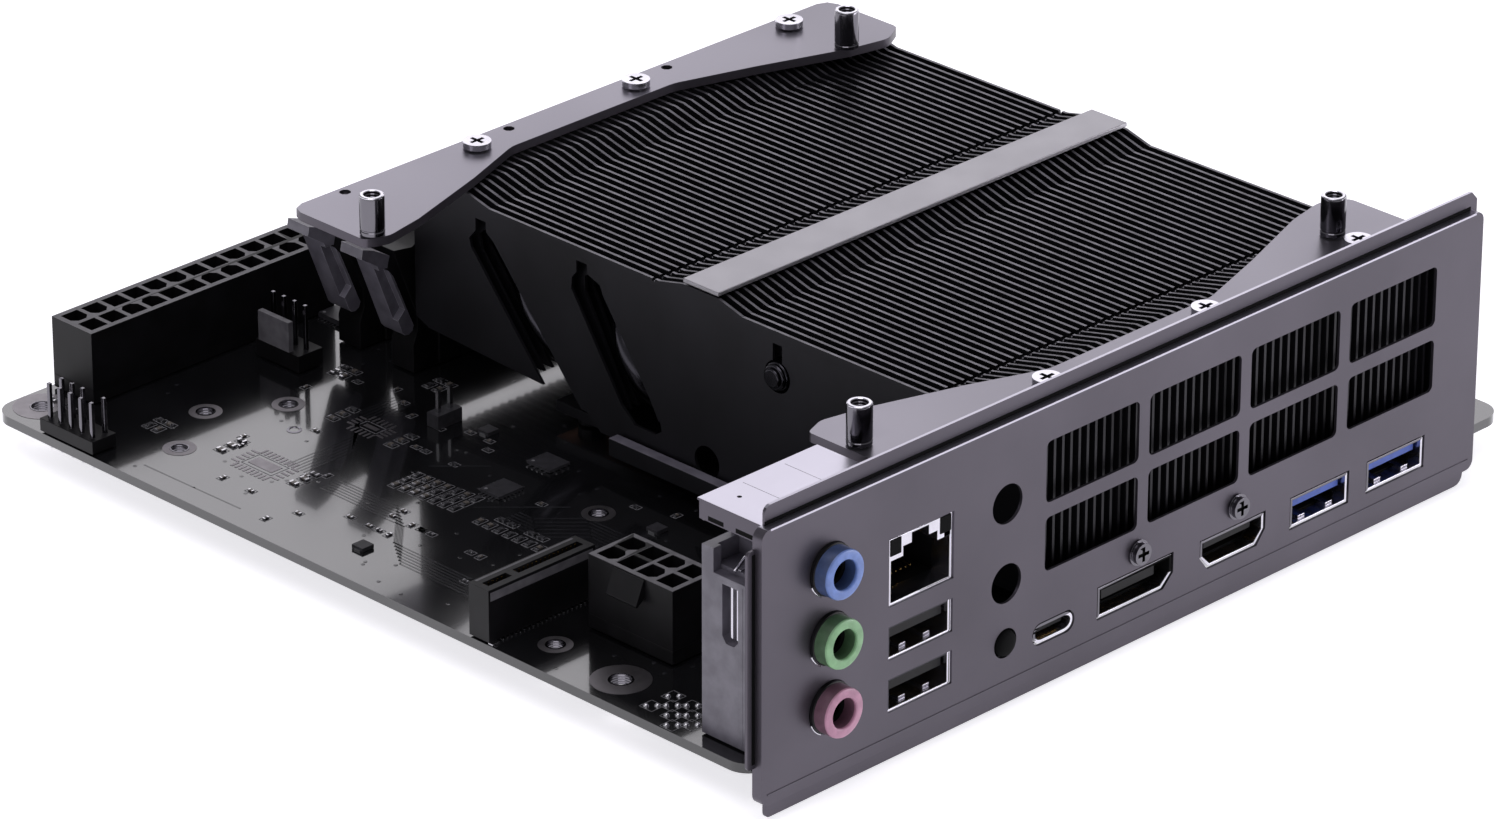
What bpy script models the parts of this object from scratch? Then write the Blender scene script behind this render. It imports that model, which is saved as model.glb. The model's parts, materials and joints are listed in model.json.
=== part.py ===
"""Mini-ITX motherboard with a soldered processor, a low fin-stack cooler and its input/output shield.

Lengths are written in millimetres and become metres through MM where a mesh is made. The board frame
has X along the rear edge, Y from the rear edge to the far edge and Z up from the board's top face. One
empty carries that frame, and puts the middle of the whole object's footprint at the world origin, with
its lowest edge on the ground plane.
"""
import math

import bmesh
import bpy
from mathutils import Matrix, Vector

MM = 0.001
GAP = 0.3                                # clearance between touching pieces

# Circuit board
BOARD = 170.0
BOARD_THICK = 1.6
BOARD_CORNER = 4.0
MOUNT_HOLES = ((6.35, 33.02), (6.35, 165.1), (163.65, 10.16), (163.65, 165.1))
MOUNT_HOLE_RADIUS = 1.98
SMALL_HOLES = ((23.5, 145.3), (11.8, 138.2), (34.6, 138.0), (7.3, 48.0), (42.4, 75.1))
SMALL_HOLE_RADIUS = 1.6

# Input/output shield: the face stands behind the rear edge, a shelf steps back and flanges stand round it
FACE_X = (-2.25, 156.5)
FACE_Z = (-3.81, 40.64)
FACE_Y = -4.85
FACE_CORNER = 1.6
SHEET = 0.5
FLANGE_Y = -3.45
FLANGE_X = (-3.75, 158.0)
FLANGE_Z = (-6.8, 43.64)
VENT_COLUMNS = ((57.2, 77.5), (79.8, 100.3), (102.6, 123.0), (125.4, 145.7))
VENT_ROWS = ((13.2, 22.1), (24.5, 34.6))
VENT_CORNER = 1.0

# Sockets on the rear edge, as openings of the face: x and z of two corners
SOCKET_FRONT = -4.6
SOCKET_FIT = 0.3                         # play of a socket shell in its opening
SHELL = 0.5
JACK_X = 11.7
JACK_HEIGHTS = {"jack_line_in": 30.1, "jack_line_out": 18.9, "jack_microphone": 7.7}
JACK_RADIUS = 3.9
JACK_BORE = 1.8
JACK_FRONT = -8.0
AUDIO_LOW = (3.0, -4.05, GAP)
AUDIO_HIGH = (20.3, 12.6, 34.6)
LAN_X = (22.4, 38.8)
LAN_DEPTH = 21.0
LAN_TOP = 31.4
LAN_OPENING = (22.1, 0.9, 39.1, 31.7)
NETWORK_PORT = (24.4, 19.8, 36.8, 26.6)
USB2_PORTS = {
    "usb2_tongue_lower": (24.2, 2.3, 37.1, 7.2),
    "usb2_tongue_upper": (24.2, 10.9, 37.1, 15.8),
}
USB2_DEPTH = 9.0
NETWORK_DEPTH = 11.0
USB_C = (54.8, 1.3, 64.0, 5.0)
DISPLAY_PORT = (69.0, 0.8, 86.0, 6.4)
HDMI_PORT = (92.0, 0.6, 107.0, 6.0)
USB3_PORTS = {"usb3_a": (112.7, 0.5, 126.5, 6.1), "usb3_b": (130.6, 0.5, 144.4, 6.1)}
USB_C_DEPTH = 7.5
VIDEO_DEPTH = 13.0
USB3_DEPTH = 15.0
PORT_SCREWS = {"port_screw_left": (77.9, 9.2), "port_screw_right": (100.2, 9.1)}
PORT_SCREW_RADIUS = 2.1
ANTENNA_HOLES = ((48.9, 27.4), (48.9, 14.3))
ANTENNA_RADIUS = 3.2
BUTTON = (48.9, 4.4)
BUTTON_RADIUS = 2.1
BUTTON_FRONT = -5.7
BUTTON_LENGTH = 6.2
COVER_LOW = (1.9, -2.65, 38.5)
COVER_HIGH = (26.5, 12.4, 38.9)
COVER_FLANGE = 2.8

SCREW_SHANK = 1.6
SCREW_SHANK_RADIUS = 1.0

# Cooler
FIN_X = (56.0, 148.4)
FIN_COUNT = 52
FIN_THICK = 0.5
FIN_Y = (0.8, 131.0)
FIN_TOP = 35.0                           # between the brackets and the middle ridge
FIN_END_TOP = 36.4                       # under the brackets
RIDGE_TOP = 36.2
RIDGE_Y = (62.5, 70.2)
RIDGE_SLOPE = 5.2
BRACKET_SLOPE_Y = (11.1, 17.0)           # the front rise; the far rise mirrors it
FIN_FRONT_BOTTOM = 12.8                  # above the rear sockets
FIN_BOTTOM = 9.7                         # above the heat pipes
TIE_SIZE = (1.2, 0.7)                    # width and depth of the strip that holds the fins at their pitch
PIPE_RADIUS = 2.4
PIPE_PATHS = {                           # y and z of the upper leg, y of the lower leg, end where it bends
    "heat_pipe_far": ((115.2, 28.0), 97.3, -1),
    "heat_pipe_middle": ((91.4, 28.0), 79.0, -1),
    "heat_pipe_front": ((49.8, 27.4), 64.5, 1),
}
PIPE_LOW_Z = 6.8
PIPE_HOLE = 3.9                          # half the diagonal of a fin's square hole round an upper leg
PIPE_END_INSET = 1.6
BEND_STEPS = 8
PLATE_LOW = (60.0, 50.0, 2.3)
PLATE_HIGH = (124.0, 103.0, 4.1)
RAIL_X = 53.5
RAIL_Y = (46.0, 84.3)
RAIL_Z = (3.0, 6.0)
BAR_THICK = 0.7
BRACKET_Z = (36.7, 38.2)
BRACKET_X = (29.5, 149.2)
BRACKET_MIRROR = 65.3                    # the brackets mirror each other about this y
BRACKET_SCREWS_X = (66.2, 101.4, 136.6)
BRACKET_SCREW_Y = 127.0
SMALL_BRACKET_HOLES_X = (39.7, 75.0, 110.3)
SMALL_BRACKET_HOLE_Y = 129.0
FAN_HOLE_SPACING = 105.0                 # of a 120 mm fan
FAN_CENTRE = (84.43, 61.63)
PILLAR_RADIUS = 2.0
PILLAR_BORE = 1.25
PILLAR_TOP = 45.0

# Processor and backplate
PROCESSOR_CENTRE = (90.0, 77.0)
PACKAGE_SIZE = (40.0, 36.0, 1.1)
DIE_SIZE = (26.0, 12.0, 0.9)
BACKPLATE_SIZE = (78.0, 66.0, 1.4)

# Power sockets, headers and card sockets on the board
CELL_PITCH = 4.2
CELL_SIDE = 3.4
CELL_DEPTH = 10.0
POWER_HEIGHT = 12.6
ATX_LOW = (12.3, 159.4)
EPS_LOW = (14.5, 30.4)
POWER_WALL = 0.6
PIN_PITCH = 2.54
PIN_SIDE = 0.64
PANEL_HEADER = (1.3, 146.7)
PANEL_PIN_TOP = 8.6
FAN_HEADER = (45.9, 146.2)
FAN_PIN_TOP = 11.0
WIFI_LOW = (0.2, 54.9)
WIFI_HIGH = (22.2, 59.2)
WIFI_TOP = 9.0
MEMORY_ROWS = {"1": 134.6, "2": 147.25}
MEMORY_X = (56.6, 137.4)
MEMORY_WIDTH = 6.0
MEMORY_HOUSING_TOP = 8.8
TOWER_TOP = 24.4
LEVER_PIVOT = (55.2, 8.6)
LEVER_WIDTH = 5.0
LEVER_FOOT = 1.3
CARD_SLOT_X = (158.8, 166.2)
CARD_SLOT_Y = (46.0, 135.0)
CARD_SLOT_TOP = 11.2
CARD_GROOVE = 1.8
CARD_KEY = (12.4, 14.2)                  # the rib that keys a card, from the slot's rear end

LATCH_FOOT = 1.8
LATCH_WIDTH = 4.8
LATCH_PIVOT = (CARD_SLOT_Y[1] + 2.6, 3.2)

BOX_X = (FLANGE_X[0], BOARD)
BOX_Y = (JACK_FRONT, BOARD)
BOX_BOTTOM = FLANGE_Z[0]

ROUND = 16


def clear_scene():
    for obj in list(bpy.data.objects):
        bpy.data.objects.remove(obj, do_unlink=True)


def new_collection(name):
    collection = bpy.data.collections.new(name)
    bpy.context.scene.collection.children.link(collection)
    return collection


clear_scene()
PARTS = new_collection("motherboard")
CUTTERS = new_collection("motherboard_cutters")
CUTTERS.hide_render = True
FRAME = bpy.data.objects.new("board_frame", None)
FRAME.location = Vector((-(BOX_X[0] + BOX_X[1]) / 2, -(BOX_Y[0] + BOX_Y[1]) / 2, -BOX_BOTTOM)) * MM
PARTS.objects.link(FRAME)


def material(name, colour, roughness, metallic=0.0):
    """A Principled material; colour is linear RGB."""
    made = bpy.data.materials.new(name)
    made.use_nodes = True
    shader = made.node_tree.nodes["Principled BSDF"]
    shader.inputs["Base Color"].default_value = (*colour, 1.0)
    shader.inputs["Roughness"].default_value = roughness
    shader.inputs["Metallic"].default_value = metallic
    made.diffuse_color = (*colour, 1.0)
    return made


SOLDER_MASK = material("solder_mask_black", (0.012, 0.012, 0.014), 0.25)
SHIELD_METAL = material("shield_dark_steel", (0.11, 0.105, 0.13), 0.4, 0.9)
BRACKET_METAL = material("bracket_steel", (0.32, 0.31, 0.34), 0.35, 0.95)
PLATED_METAL = material("plated_steel", (0.7, 0.69, 0.72), 0.2, 1.0)
NICKEL = material("black_nickel", (0.2, 0.2, 0.21), 0.12, 1.0)
FIN_METAL = material("fin_black_aluminium", (0.015, 0.015, 0.017), 0.45, 0.4)
PIPE_METAL = material("pipe_black_nickel", (0.05, 0.05, 0.055), 0.25, 1.0)
BAR_METAL = material("bar_aluminium", (0.38, 0.37, 0.39), 0.4, 0.9)
COPPER = material("cold_plate_copper", (0.45, 0.2, 0.1), 0.35, 1.0)
BLACK_PLASTIC = material("black_nylon", (0.012, 0.012, 0.013), 0.45)
GREY_PLASTIC = material("lever_grey_nylon", (0.1, 0.1, 0.11), 0.45)
BLUE_PLASTIC = material("blue_plastic", (0.02, 0.12, 0.42), 0.35)
GREEN_PLASTIC = material("green_plastic", (0.1, 0.36, 0.14), 0.35)
PINK_PLASTIC = material("pink_plastic", (0.48, 0.17, 0.3), 0.35)
TONGUE_BLUE = material("tongue_blue", (0.02, 0.08, 0.35), 0.4)
PACKAGE_GREEN = material("package_substrate", (0.02, 0.1, 0.05), 0.4)


def place(obj, collection, paint):
    collection.objects.link(obj)
    obj.parent = FRAME
    if paint is not None:
        obj.data.materials.append(paint)
    if collection is CUTTERS:
        obj.hide_render = True
        obj.display_type = "WIRE"
    return obj


def mesh_object(name, shape, paint, origin=(0, 0, 0), collection=None):
    """A new object from a bmesh in millimetres, with its own origin in the board frame."""
    if shape.calc_volume(signed=True) < 0:
        bmesh.ops.reverse_faces(shape, faces=shape.faces)
    for vertex in shape.verts:
        vertex.co = (vertex.co - Vector(origin)) * MM
    mesh = bpy.data.meshes.new(name)
    shape.to_mesh(mesh)
    shape.free()
    obj = bpy.data.objects.new(name, mesh)
    obj.location = Vector(origin) * MM
    return place(obj, collection or PARTS, paint)


def add_block(shape, low, high):
    """Adds a box between two corners to a bmesh."""
    made = bmesh.ops.create_cube(shape, size=1.0)["verts"]
    size = Vector(high) - Vector(low)
    bmesh.ops.scale(shape, vec=size, verts=made)
    bmesh.ops.translate(shape, vec=(Vector(high) + Vector(low)) / 2, verts=made)


def add_round(shape, centre, radius, start, end, axis="y", segments=ROUND):
    """Adds a cylinder along an axis to a bmesh; centre holds the two other coordinates."""
    made = bmesh.ops.create_cone(
        shape, cap_ends=True, segments=segments, radius1=radius, radius2=radius, depth=end - start
    )["verts"]
    middle = (start + end) / 2
    if axis == "y":
        bmesh.ops.rotate(shape, cent=(0, 0, 0), matrix=rotation_to_y(), verts=made)
        offset = (centre[0], middle, centre[1])
    else:
        offset = (centre[0], centre[1], middle)
    bmesh.ops.translate(shape, vec=offset, verts=made)


def rotation_to_y():
    return Vector((0, 0, 1)).rotation_difference(Vector((0, 1, 0))).to_matrix()


def box(name, low, high, paint, bevel=0.0, collection=None):
    shape = bmesh.new()
    add_block(shape, low, high)
    middle = (Vector(low) + Vector(high)) / 2
    obj = mesh_object(name, shape, paint, middle, collection)
    if bevel:
        add_bevel(obj, bevel)
    return obj


def blocks(name, corners, paint=None, collection=None):
    """One object from several boxes that stand apart."""
    shape = bmesh.new()
    for low, high in corners:
        add_block(shape, low, high)
    return mesh_object(name, shape, paint, (0, 0, 0), collection)


def add_bevel(obj, width, segments=1):
    bevel = obj.modifiers.new("edge", "BEVEL")
    bevel.width = width * MM
    bevel.segments = segments
    bevel.limit_method = "ANGLE"


def smooth(obj, angle=35.0):
    obj.data.shade_smooth()
    obj.data.set_sharp_from_angle(angle=math.radians(angle))
    return obj


def circle(centre, radius, count=ROUND):
    turn = 2 * math.pi / count
    return [
        (centre[0] + radius * math.cos(turn * (i + 0.5)), centre[1] + radius * math.sin(turn * (i + 0.5)))
        for i in range(count)
    ]


def rounded(points, radius, steps=3):
    """A closed outline with each corner replaced by an arc; a list gives each corner its own radius."""
    radii = radius if isinstance(radius, (list, tuple)) else [radius] * len(points)
    outline = []
    for i, (corner, size) in enumerate(zip(points, radii)):
        here = Vector(corner)
        if not size:
            outline.append(tuple(here))
            continue
        before = (Vector(points[i - 1]) - here).normalized()
        after = (Vector(points[(i + 1) % len(points)]) - here).normalized()
        half = before.angle(after) / 2
        start = here + before * (size / math.tan(half))
        end = here + after * (size / math.tan(half))
        middle = here + (before + after).normalized() * (size / math.sin(half))
        spread = (start - middle).angle_signed(end - middle)
        for step in range(steps + 1):
            turn = -spread * step / steps
            arm = start - middle
            outline.append((
                middle.x + arm.x * math.cos(turn) - arm.y * math.sin(turn),
                middle.y + arm.x * math.sin(turn) + arm.y * math.cos(turn),
            ))
    return outline


def rectangle(x0, z0, x1, z1):
    return [(x0, z0), (x1, z0), (x1, z1), (x0, z1)]


def inset(points, distance):
    """An outline moved inwards by scaling about its middle, side by side, for near-rectangular outlines."""
    xs = [p[0] for p in points]
    zs = [p[1] for p in points]
    middle = ((min(xs) + max(xs)) / 2, (min(zs) + max(zs)) / 2)
    half = ((max(xs) - min(xs)) / 2, (max(zs) - min(zs)) / 2)
    return [
        (
            middle[0] + (x - middle[0]) * (1 - distance / half[0]),
            middle[1] + (z - middle[1]) * (1 - distance / half[1]),
        )
        for x, z in points
    ]


def outline_mesh(contours, depth):
    """A mesh in metres from flat outlines (the first is outer, the others holes), extruded about z = 0."""
    curve = bpy.data.curves.new("outline", "CURVE")
    curve.dimensions = "2D"
    curve.fill_mode = "BOTH"
    curve.extrude = depth / 2 * MM
    for contour in contours:
        spline = curve.splines.new("POLY")
        spline.points.add(len(contour) - 1)
        for point, (u, v) in zip(spline.points, contour):
            point.co = (u * MM, v * MM, 0, 1)
        spline.use_cyclic_u = True
    holder = bpy.data.objects.new("outline", curve)
    bpy.context.scene.collection.objects.link(holder)
    graph = bpy.context.evaluated_depsgraph_get()
    mesh = bpy.data.meshes.new_from_object(holder.evaluated_get(graph))
    bpy.data.objects.remove(holder)
    shape = bmesh.new()
    shape.from_mesh(mesh)
    bmesh.ops.remove_doubles(shape, verts=shape.verts, dist=1e-6)
    bmesh.ops.recalc_face_normals(shape, faces=shape.faces)
    return shape


def arc_points(centre, radius, degrees):
    """Points of a circle at the given angles."""
    turns = [math.radians(angle) for angle in degrees]
    return [(centre[0] + radius * math.cos(turn), centre[1] + radius * math.sin(turn)) for turn in turns]


def extrude_along(name, contours, axis, start, end, paint, collection=None):
    """A prism from outlines given in the plane across one axis: (y, z) for x, (x, z) for y, (x, y) for z."""
    shape = outline_mesh(contours, abs(end - start))
    middle = (start + end) / 2 * MM
    for vertex in shape.verts:
        u, v, w = vertex.co
        vertex.co = {"x": (w + middle, u, v), "y": (u, w + middle, v), "z": (u, v, w + middle)}[axis]
        vertex.co /= MM
    bmesh.ops.recalc_face_normals(shape, faces=shape.faces)
    return mesh_object(name, shape, paint, (0, 0, 0), collection)


def boolean(obj, other, operation, solver):
    """Joins or cuts with another object, which moves to the cutters."""
    if other.name not in CUTTERS.objects:
        PARTS.objects.unlink(other)
        CUTTERS.objects.link(other)
    other.hide_render = True
    other.display_type = "WIRE"
    modifier = obj.modifiers.new(operation.lower() + "_" + other.name, "BOOLEAN")
    modifier.operation = operation
    modifier.solver = solver
    modifier.object = other
    return obj


def cut(obj, other, solver="EXACT"):
    return boolean(obj, other, "DIFFERENCE", solver)


def join(obj, other, solver="EXACT"):
    return boolean(obj, other, "UNION", solver)


def make_board():
    outline = rounded(rectangle(0, 0, BOARD, BOARD), BOARD_CORNER)
    holes = [circle(hole, MOUNT_HOLE_RADIUS) for hole in MOUNT_HOLES]
    holes += [circle(hole, SMALL_HOLE_RADIUS, 12) for hole in SMALL_HOLES]
    extrude_along("pcb", [outline] + holes, "z", -BOARD_THICK, 0, SOLDER_MASK)


def flange_outline():
    """The shield's flanges: each side stands out on its own, with notched corners."""
    left, right = FACE_X[0] + 0.1, FACE_X[1] - 0.1
    low, high = FACE_Z[0] + 0.1, FACE_Z[1] - 0.1
    return rounded([
        (left + 2.0, FLANGE_Z[0]), (right - 0.6, FLANGE_Z[0]), (right - 0.6, low - 0.3), (right, low - 0.3),
        (right, -1.5), (FLANGE_X[1], -1.5), (FLANGE_X[1], 38.3), (right, 38.3), (right, 42.2),
        (right - 1.3, FLANGE_Z[1]), (left + 1.9, FLANGE_Z[1]), (left + 1.9, high), (left, high), (left, 37.4),
        (FLANGE_X[0], 37.4), (FLANGE_X[0], 2.3), (left, 2.3), (left, low), (left + 2.0, low),
    ], [1.0, 1.8, 0, 0.5, 0, 0.8, 0.8, 0, 0, 0, 1.2, 0, 1.5, 0, 0.6, 0.6, 0, 1.5, 0], 2)


def shield_openings():
    """All the face's openings as outlines in (x, z)."""
    found = [
        rounded(rectangle(x0, z0, x1, z1), VENT_CORNER, 2) for x0, x1 in VENT_COLUMNS for z0, z1 in VENT_ROWS
    ]
    found += [circle((JACK_X, z), JACK_RADIUS + GAP) for z in JACK_HEIGHTS.values()]
    found += [circle(hole, ANTENNA_RADIUS) for hole in ANTENNA_HOLES]
    found += [circle(BUTTON, BUTTON_RADIUS + GAP, 12)]
    found += [circle(hole, 1.3, 8) for hole in PORT_SCREWS.values()]
    found += [rectangle(*LAN_OPENING), usb_c_outline(), display_outline(), hdmi_outline()]
    found += [rectangle(*port) for port in USB3_PORTS.values()]
    return found


def usb_c_outline():
    return rounded(rectangle(*USB_C), 1.75, 3)


def display_outline():
    x0, z0, x1, z1 = DISPLAY_PORT
    return [(x0, z0), (x1 - 2.2, z0), (x1, z0 + 2.2), (x1, z1), (x0, z1)]


def hdmi_outline():
    x0, z0, x1, z1 = HDMI_PORT
    return [(x0, z1), (x0, z0 + 2.4), (x0 + 1.9, z0), (x1 - 1.9, z0), (x1, z0 + 2.4), (x1, z1)]


def make_shield():
    face = rounded(rectangle(FACE_X[0], FACE_Z[0], FACE_X[1], FACE_Z[1]), FACE_CORNER)
    shield = extrude_along("io_shield", [face], "y", FACE_Y, FLANGE_Y + SHEET / 2, SHIELD_METAL)
    flange = extrude_along(
        "shield_flange", [flange_outline()], "y", FLANGE_Y, FLANGE_Y + SHEET, None, CUTTERS
    )
    join(shield, flange, "MANIFOLD")     # the exact solver leaves open edges at the nearly meeting corners
    pocket = extrude_along(
        "shield_pocket", [inset(face, SHEET)], "y", FACE_Y + SHEET, 0, None, CUTTERS
    )
    cut(shield, pocket, "MANIFOLD")
    openings = bmesh.new()
    for index, outline in enumerate(shield_openings()):
        tool = extrude_along(f"opening_{index}", [outline], "y", FACE_Y - 1, -3.2, None, CUTTERS)
        cutter = tool.data
        openings.from_mesh(cutter)
        bpy.data.objects.remove(tool)
        bpy.data.meshes.remove(cutter)
    bmesh.ops.scale(openings, vec=(1 / MM,) * 3, verts=openings.verts)
    cut(shield, mesh_object("shield_openings", openings, None, (0, 0, 0), CUTTERS), "MANIFOLD")


def make_audio_stack():
    """A black housing with spring slots in its left side, and three coloured jack barrels."""
    stack = box("audio_stack", AUDIO_LOW, AUDIO_HIGH, BLACK_PLASTIC)
    x0, y0, _ = AUDIO_LOW
    top = AUDIO_HIGH[2]
    slots = blocks("audio_slots", [
        ((x0 - 1, 5.2, 16.5), (x0 + 1.6, 8.4, 26.5)),
        ((x0 - 1, 1.2, 19.0), (x0 + 1.6, 3.6, 26.0)),
        ((x0 - 1, 1.0, 9.5), (x0 + 1.6, 3.4, 15.5)),
        ((x0 - 1, y0 - 1, 28.6), (x0 + 3.0, 10.6, top + 1)),
    ], None, CUTTERS)
    cut(stack, slots)
    sockets = bmesh.new()
    for height in JACK_HEIGHTS.values():
        add_round(sockets, (JACK_X, height), JACK_RADIUS + GAP, y0 - 1, y0 + 4.6)
    cut(stack, mesh_object("audio_sockets", sockets, None, (0, 0, 0), CUTTERS))
    paints = (BLUE_PLASTIC, GREEN_PLASTIC, PINK_PLASTIC)
    for (name, height), paint in zip(JACK_HEIGHTS.items(), paints):
        make_jack(name, height, paint)


def make_jack(name, height, paint):
    """A turned barrel: a flat collar at the front round a plain bore, closed at its back."""
    back = -0.2
    profile = [
        (0, back), (JACK_RADIUS, back), (JACK_RADIUS, JACK_FRONT + 0.5), (JACK_RADIUS - 0.5, JACK_FRONT),
        (JACK_BORE + 0.5, JACK_FRONT), (JACK_BORE, JACK_FRONT + 0.5), (JACK_BORE, back - 1.2),
        (0, back - 1.2),
    ]
    shape = bmesh.new()
    points = [shape.verts.new((radius, 0, -along)) for radius, along in profile]
    edges = [shape.edges.new(pair) for pair in zip(points, points[1:])]
    bmesh.ops.spin(
        shape, geom=points + edges, cent=(0, 0, 0), axis=(0, 0, 1), steps=ROUND, angle=2 * math.pi,
        use_merge=True,
    )
    bmesh.ops.remove_doubles(shape, verts=shape.verts, dist=0.001)
    bmesh.ops.rotate(shape, cent=(0, 0, 0), matrix=rotation_to_y(), verts=shape.verts)
    for vertex in shape.verts:
        vertex.co.y = -vertex.co.y
    bmesh.ops.translate(shape, vec=(JACK_X, 0, height), verts=shape.verts)
    bmesh.ops.recalc_face_normals(shape, faces=shape.faces)
    smooth(mesh_object(name, shape, paint, (JACK_X, 0, height)))


def network_outline():
    """The stepped mouth of the network socket, wide below and narrow at the plug's catch."""
    x0, z0, x1, z1 = NETWORK_PORT
    return [
        (x0, z0), (x1, z0), (x1, z1), (x1 - 2.6, z1), (x1 - 2.6, z1 + 1.6), (x1 - 4.4, z1 + 1.6),
        (x1 - 4.4, z1 + 3.2), (x0 + 4.4, z1 + 3.2), (x0 + 4.4, z1 + 1.6), (x0 + 2.6, z1 + 1.6),
        (x0 + 2.6, z1), (x0, z1),
    ]


def make_lan_stack():
    """Network socket above two USB sockets in one plated shell."""
    shell = box(
        "lan_usb_shell", (LAN_X[0], SOCKET_FRONT, 1.2), (LAN_X[1], LAN_DEPTH, LAN_TOP), PLATED_METAL
    )
    mouth = extrude_along(
        "network_mouth", [network_outline()], "y", FACE_Y - 1, NETWORK_DEPTH, None, CUTTERS
    )
    cut(shell, mouth)
    for name, (x0, z0, x1, z1) in USB2_PORTS.items():
        cut(shell, box(name + "_mouth", (x0, FACE_Y - 1, z0), (x1, USB2_DEPTH, z1), None, 0, CUTTERS))
        low = (x0 + 0.9, SOCKET_FRONT + 0.9, z0 + 2.7)
        box(name, low, (x1 - 0.9, USB2_DEPTH - GAP, z0 + 4.4), BLACK_PLASTIC, 0.15)
    x0, z0, x1, _ = NETWORK_PORT
    high = (x1 - GAP, NETWORK_DEPTH - GAP, z0 + 3.2)
    box("network_insert", (x0 + GAP, 6.0, z0 + GAP), high, BLACK_PLASTIC, 0.4)


def make_cover():
    """A bright plate over the two stacks, folded down at its left side and its back."""
    cover = box("stack_cover", COVER_LOW, COVER_HIGH, PLATED_METAL)
    sheet = COVER_HIGH[2] - COVER_LOW[2]
    low_z = COVER_LOW[2] - COVER_FLANGE
    side = box("cover_side", (COVER_LOW[0], COVER_LOW[1] + 0.4, low_z),
               (COVER_LOW[0] + sheet, COVER_HIGH[1] - 0.4, COVER_HIGH[2] - 0.1), None, 0, CUTTERS)
    back = box("cover_back", (COVER_LOW[0] + 1.0, COVER_HIGH[1] - sheet, AUDIO_HIGH[2] + GAP),
               (COVER_HIGH[0] - 1.0, COVER_HIGH[1], COVER_HIGH[2] - 0.1), None, 0, CUTTERS)
    join(cover, side)
    join(cover, back)


def make_button():
    """A push switch behind the face; its cap slides in the body's bore."""
    body = box("switch_body", (45.9, FACE_Y + SHEET + GAP, GAP), (51.9, 3.5, 7.9), BLACK_PLASTIC)
    bore = bmesh.new()
    add_round(bore, BUTTON, BUTTON_RADIUS + GAP, FACE_Y - 1, 2.0)
    cut(body, mesh_object("switch_bore", bore, None, (0, 0, 0), CUTTERS))
    cap = bmesh.new()
    add_round(cap, BUTTON, BUTTON_RADIUS, BUTTON_FRONT, BUTTON_FRONT + BUTTON_LENGTH)
    back = (BUTTON[0], BUTTON_FRONT + BUTTON_LENGTH, BUTTON[1])
    cap_object = mesh_object("switch_cap", cap, BLACK_PLASTIC, back)
    add_bevel(cap_object, 0.5, 2)
    smooth(cap_object)


def make_socket(name, outline, depth, tongue, tongue_paint):
    """A plated shell with an open front, and the tongue that stands in it."""
    outer = inset(outline, SOCKET_FIT)
    shell = extrude_along(name + "_shell", [outer], "y", SOCKET_FRONT, depth, PLATED_METAL)
    mouth = inset(outer, SHELL)
    cut(shell, extrude_along(name + "_mouth", [mouth], "y", SOCKET_FRONT - 1, depth - 1.5, None, CUTTERS))
    x0, z0, x1, z1 = tongue
    box(name + "_tongue", (x0, SOCKET_FRONT + 1.0, z0), (x1, depth - 1.5 - GAP, z1), tongue_paint, 0.12)


def make_sockets():
    x0, z0, x1, z1 = USB_C
    middle = (z0 + z1) / 2
    tongue = (x0 + 1.5, middle - 0.35, x1 - 1.5, middle + 0.35)
    make_socket("usb_c", usb_c_outline(), USB_C_DEPTH, tongue, BLACK_PLASTIC)
    x0, z0, x1, _ = DISPLAY_PORT
    tongue = (x0 + 2.2, z0 + 2.4, x1 - 3.0, z0 + 3.9)
    make_socket("displayport", display_outline(), VIDEO_DEPTH, tongue, BLACK_PLASTIC)
    x0, z0, x1, _ = HDMI_PORT
    tongue = (x0 + 2.2, z0 + 2.9, x1 - 2.2, z0 + 4.1)
    make_socket("hdmi", hdmi_outline(), VIDEO_DEPTH, tongue, BLACK_PLASTIC)
    for name, (x0, z0, x1, z1) in USB3_PORTS.items():
        tongue = (x0 + 1.2, z0 + 3.0, x1 - 1.2, z0 + 4.7)
        make_socket(name, rectangle(x0, z0, x1, z1), USB3_DEPTH, tongue, TONGUE_BLUE)
    for name, (x, z) in PORT_SCREWS.items():
        make_screw(name, (x, z), "y", FACE_Y - GAP, -1, PORT_SCREW_RADIUS, 0.9)


def make_screw(name, centre, axis, seat, outward, radius, head):
    """A pan-head screw with a cross recess; its short shank passes through the hole in the sheet."""
    shape = bmesh.new()
    ends = sorted((seat, seat + outward * head))
    add_round(shape, centre, radius, ends[0], ends[1], axis)
    screw = mesh_object(name, shape, PLATED_METAL, (0, 0, 0))
    stem = bmesh.new()
    stem_ends = sorted((seat + outward * 0.2, seat - outward * SCREW_SHANK))
    add_round(stem, centre, SCREW_SHANK_RADIUS, stem_ends[0], stem_ends[1], axis, 8)
    join(screw, mesh_object(name + "_stem", stem, None, (0, 0, 0), CUTTERS))
    width, arm = 0.35, radius * 0.6
    depth_low, depth_high = sorted((seat + outward * head * 0.45, seat + outward * (head + 1)))
    for half_u, half_v in ((arm, width), (width, arm - 0.01)):
        if axis == "y":
            low = (centre[0] - half_u, depth_low, centre[1] - half_v)
            high = (centre[0] + half_u, depth_high, centre[1] + half_v)
        else:
            low = (centre[0] - half_u, centre[1] - half_v, depth_low)
            high = (centre[0] + half_u, centre[1] + half_v, depth_high)
        tool = bmesh.new()
        add_block(tool, low, high)
        cut(screw, mesh_object(f"{name}_cross_{half_u > half_v}", tool, None, (0, 0, 0), CUTTERS))


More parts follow.
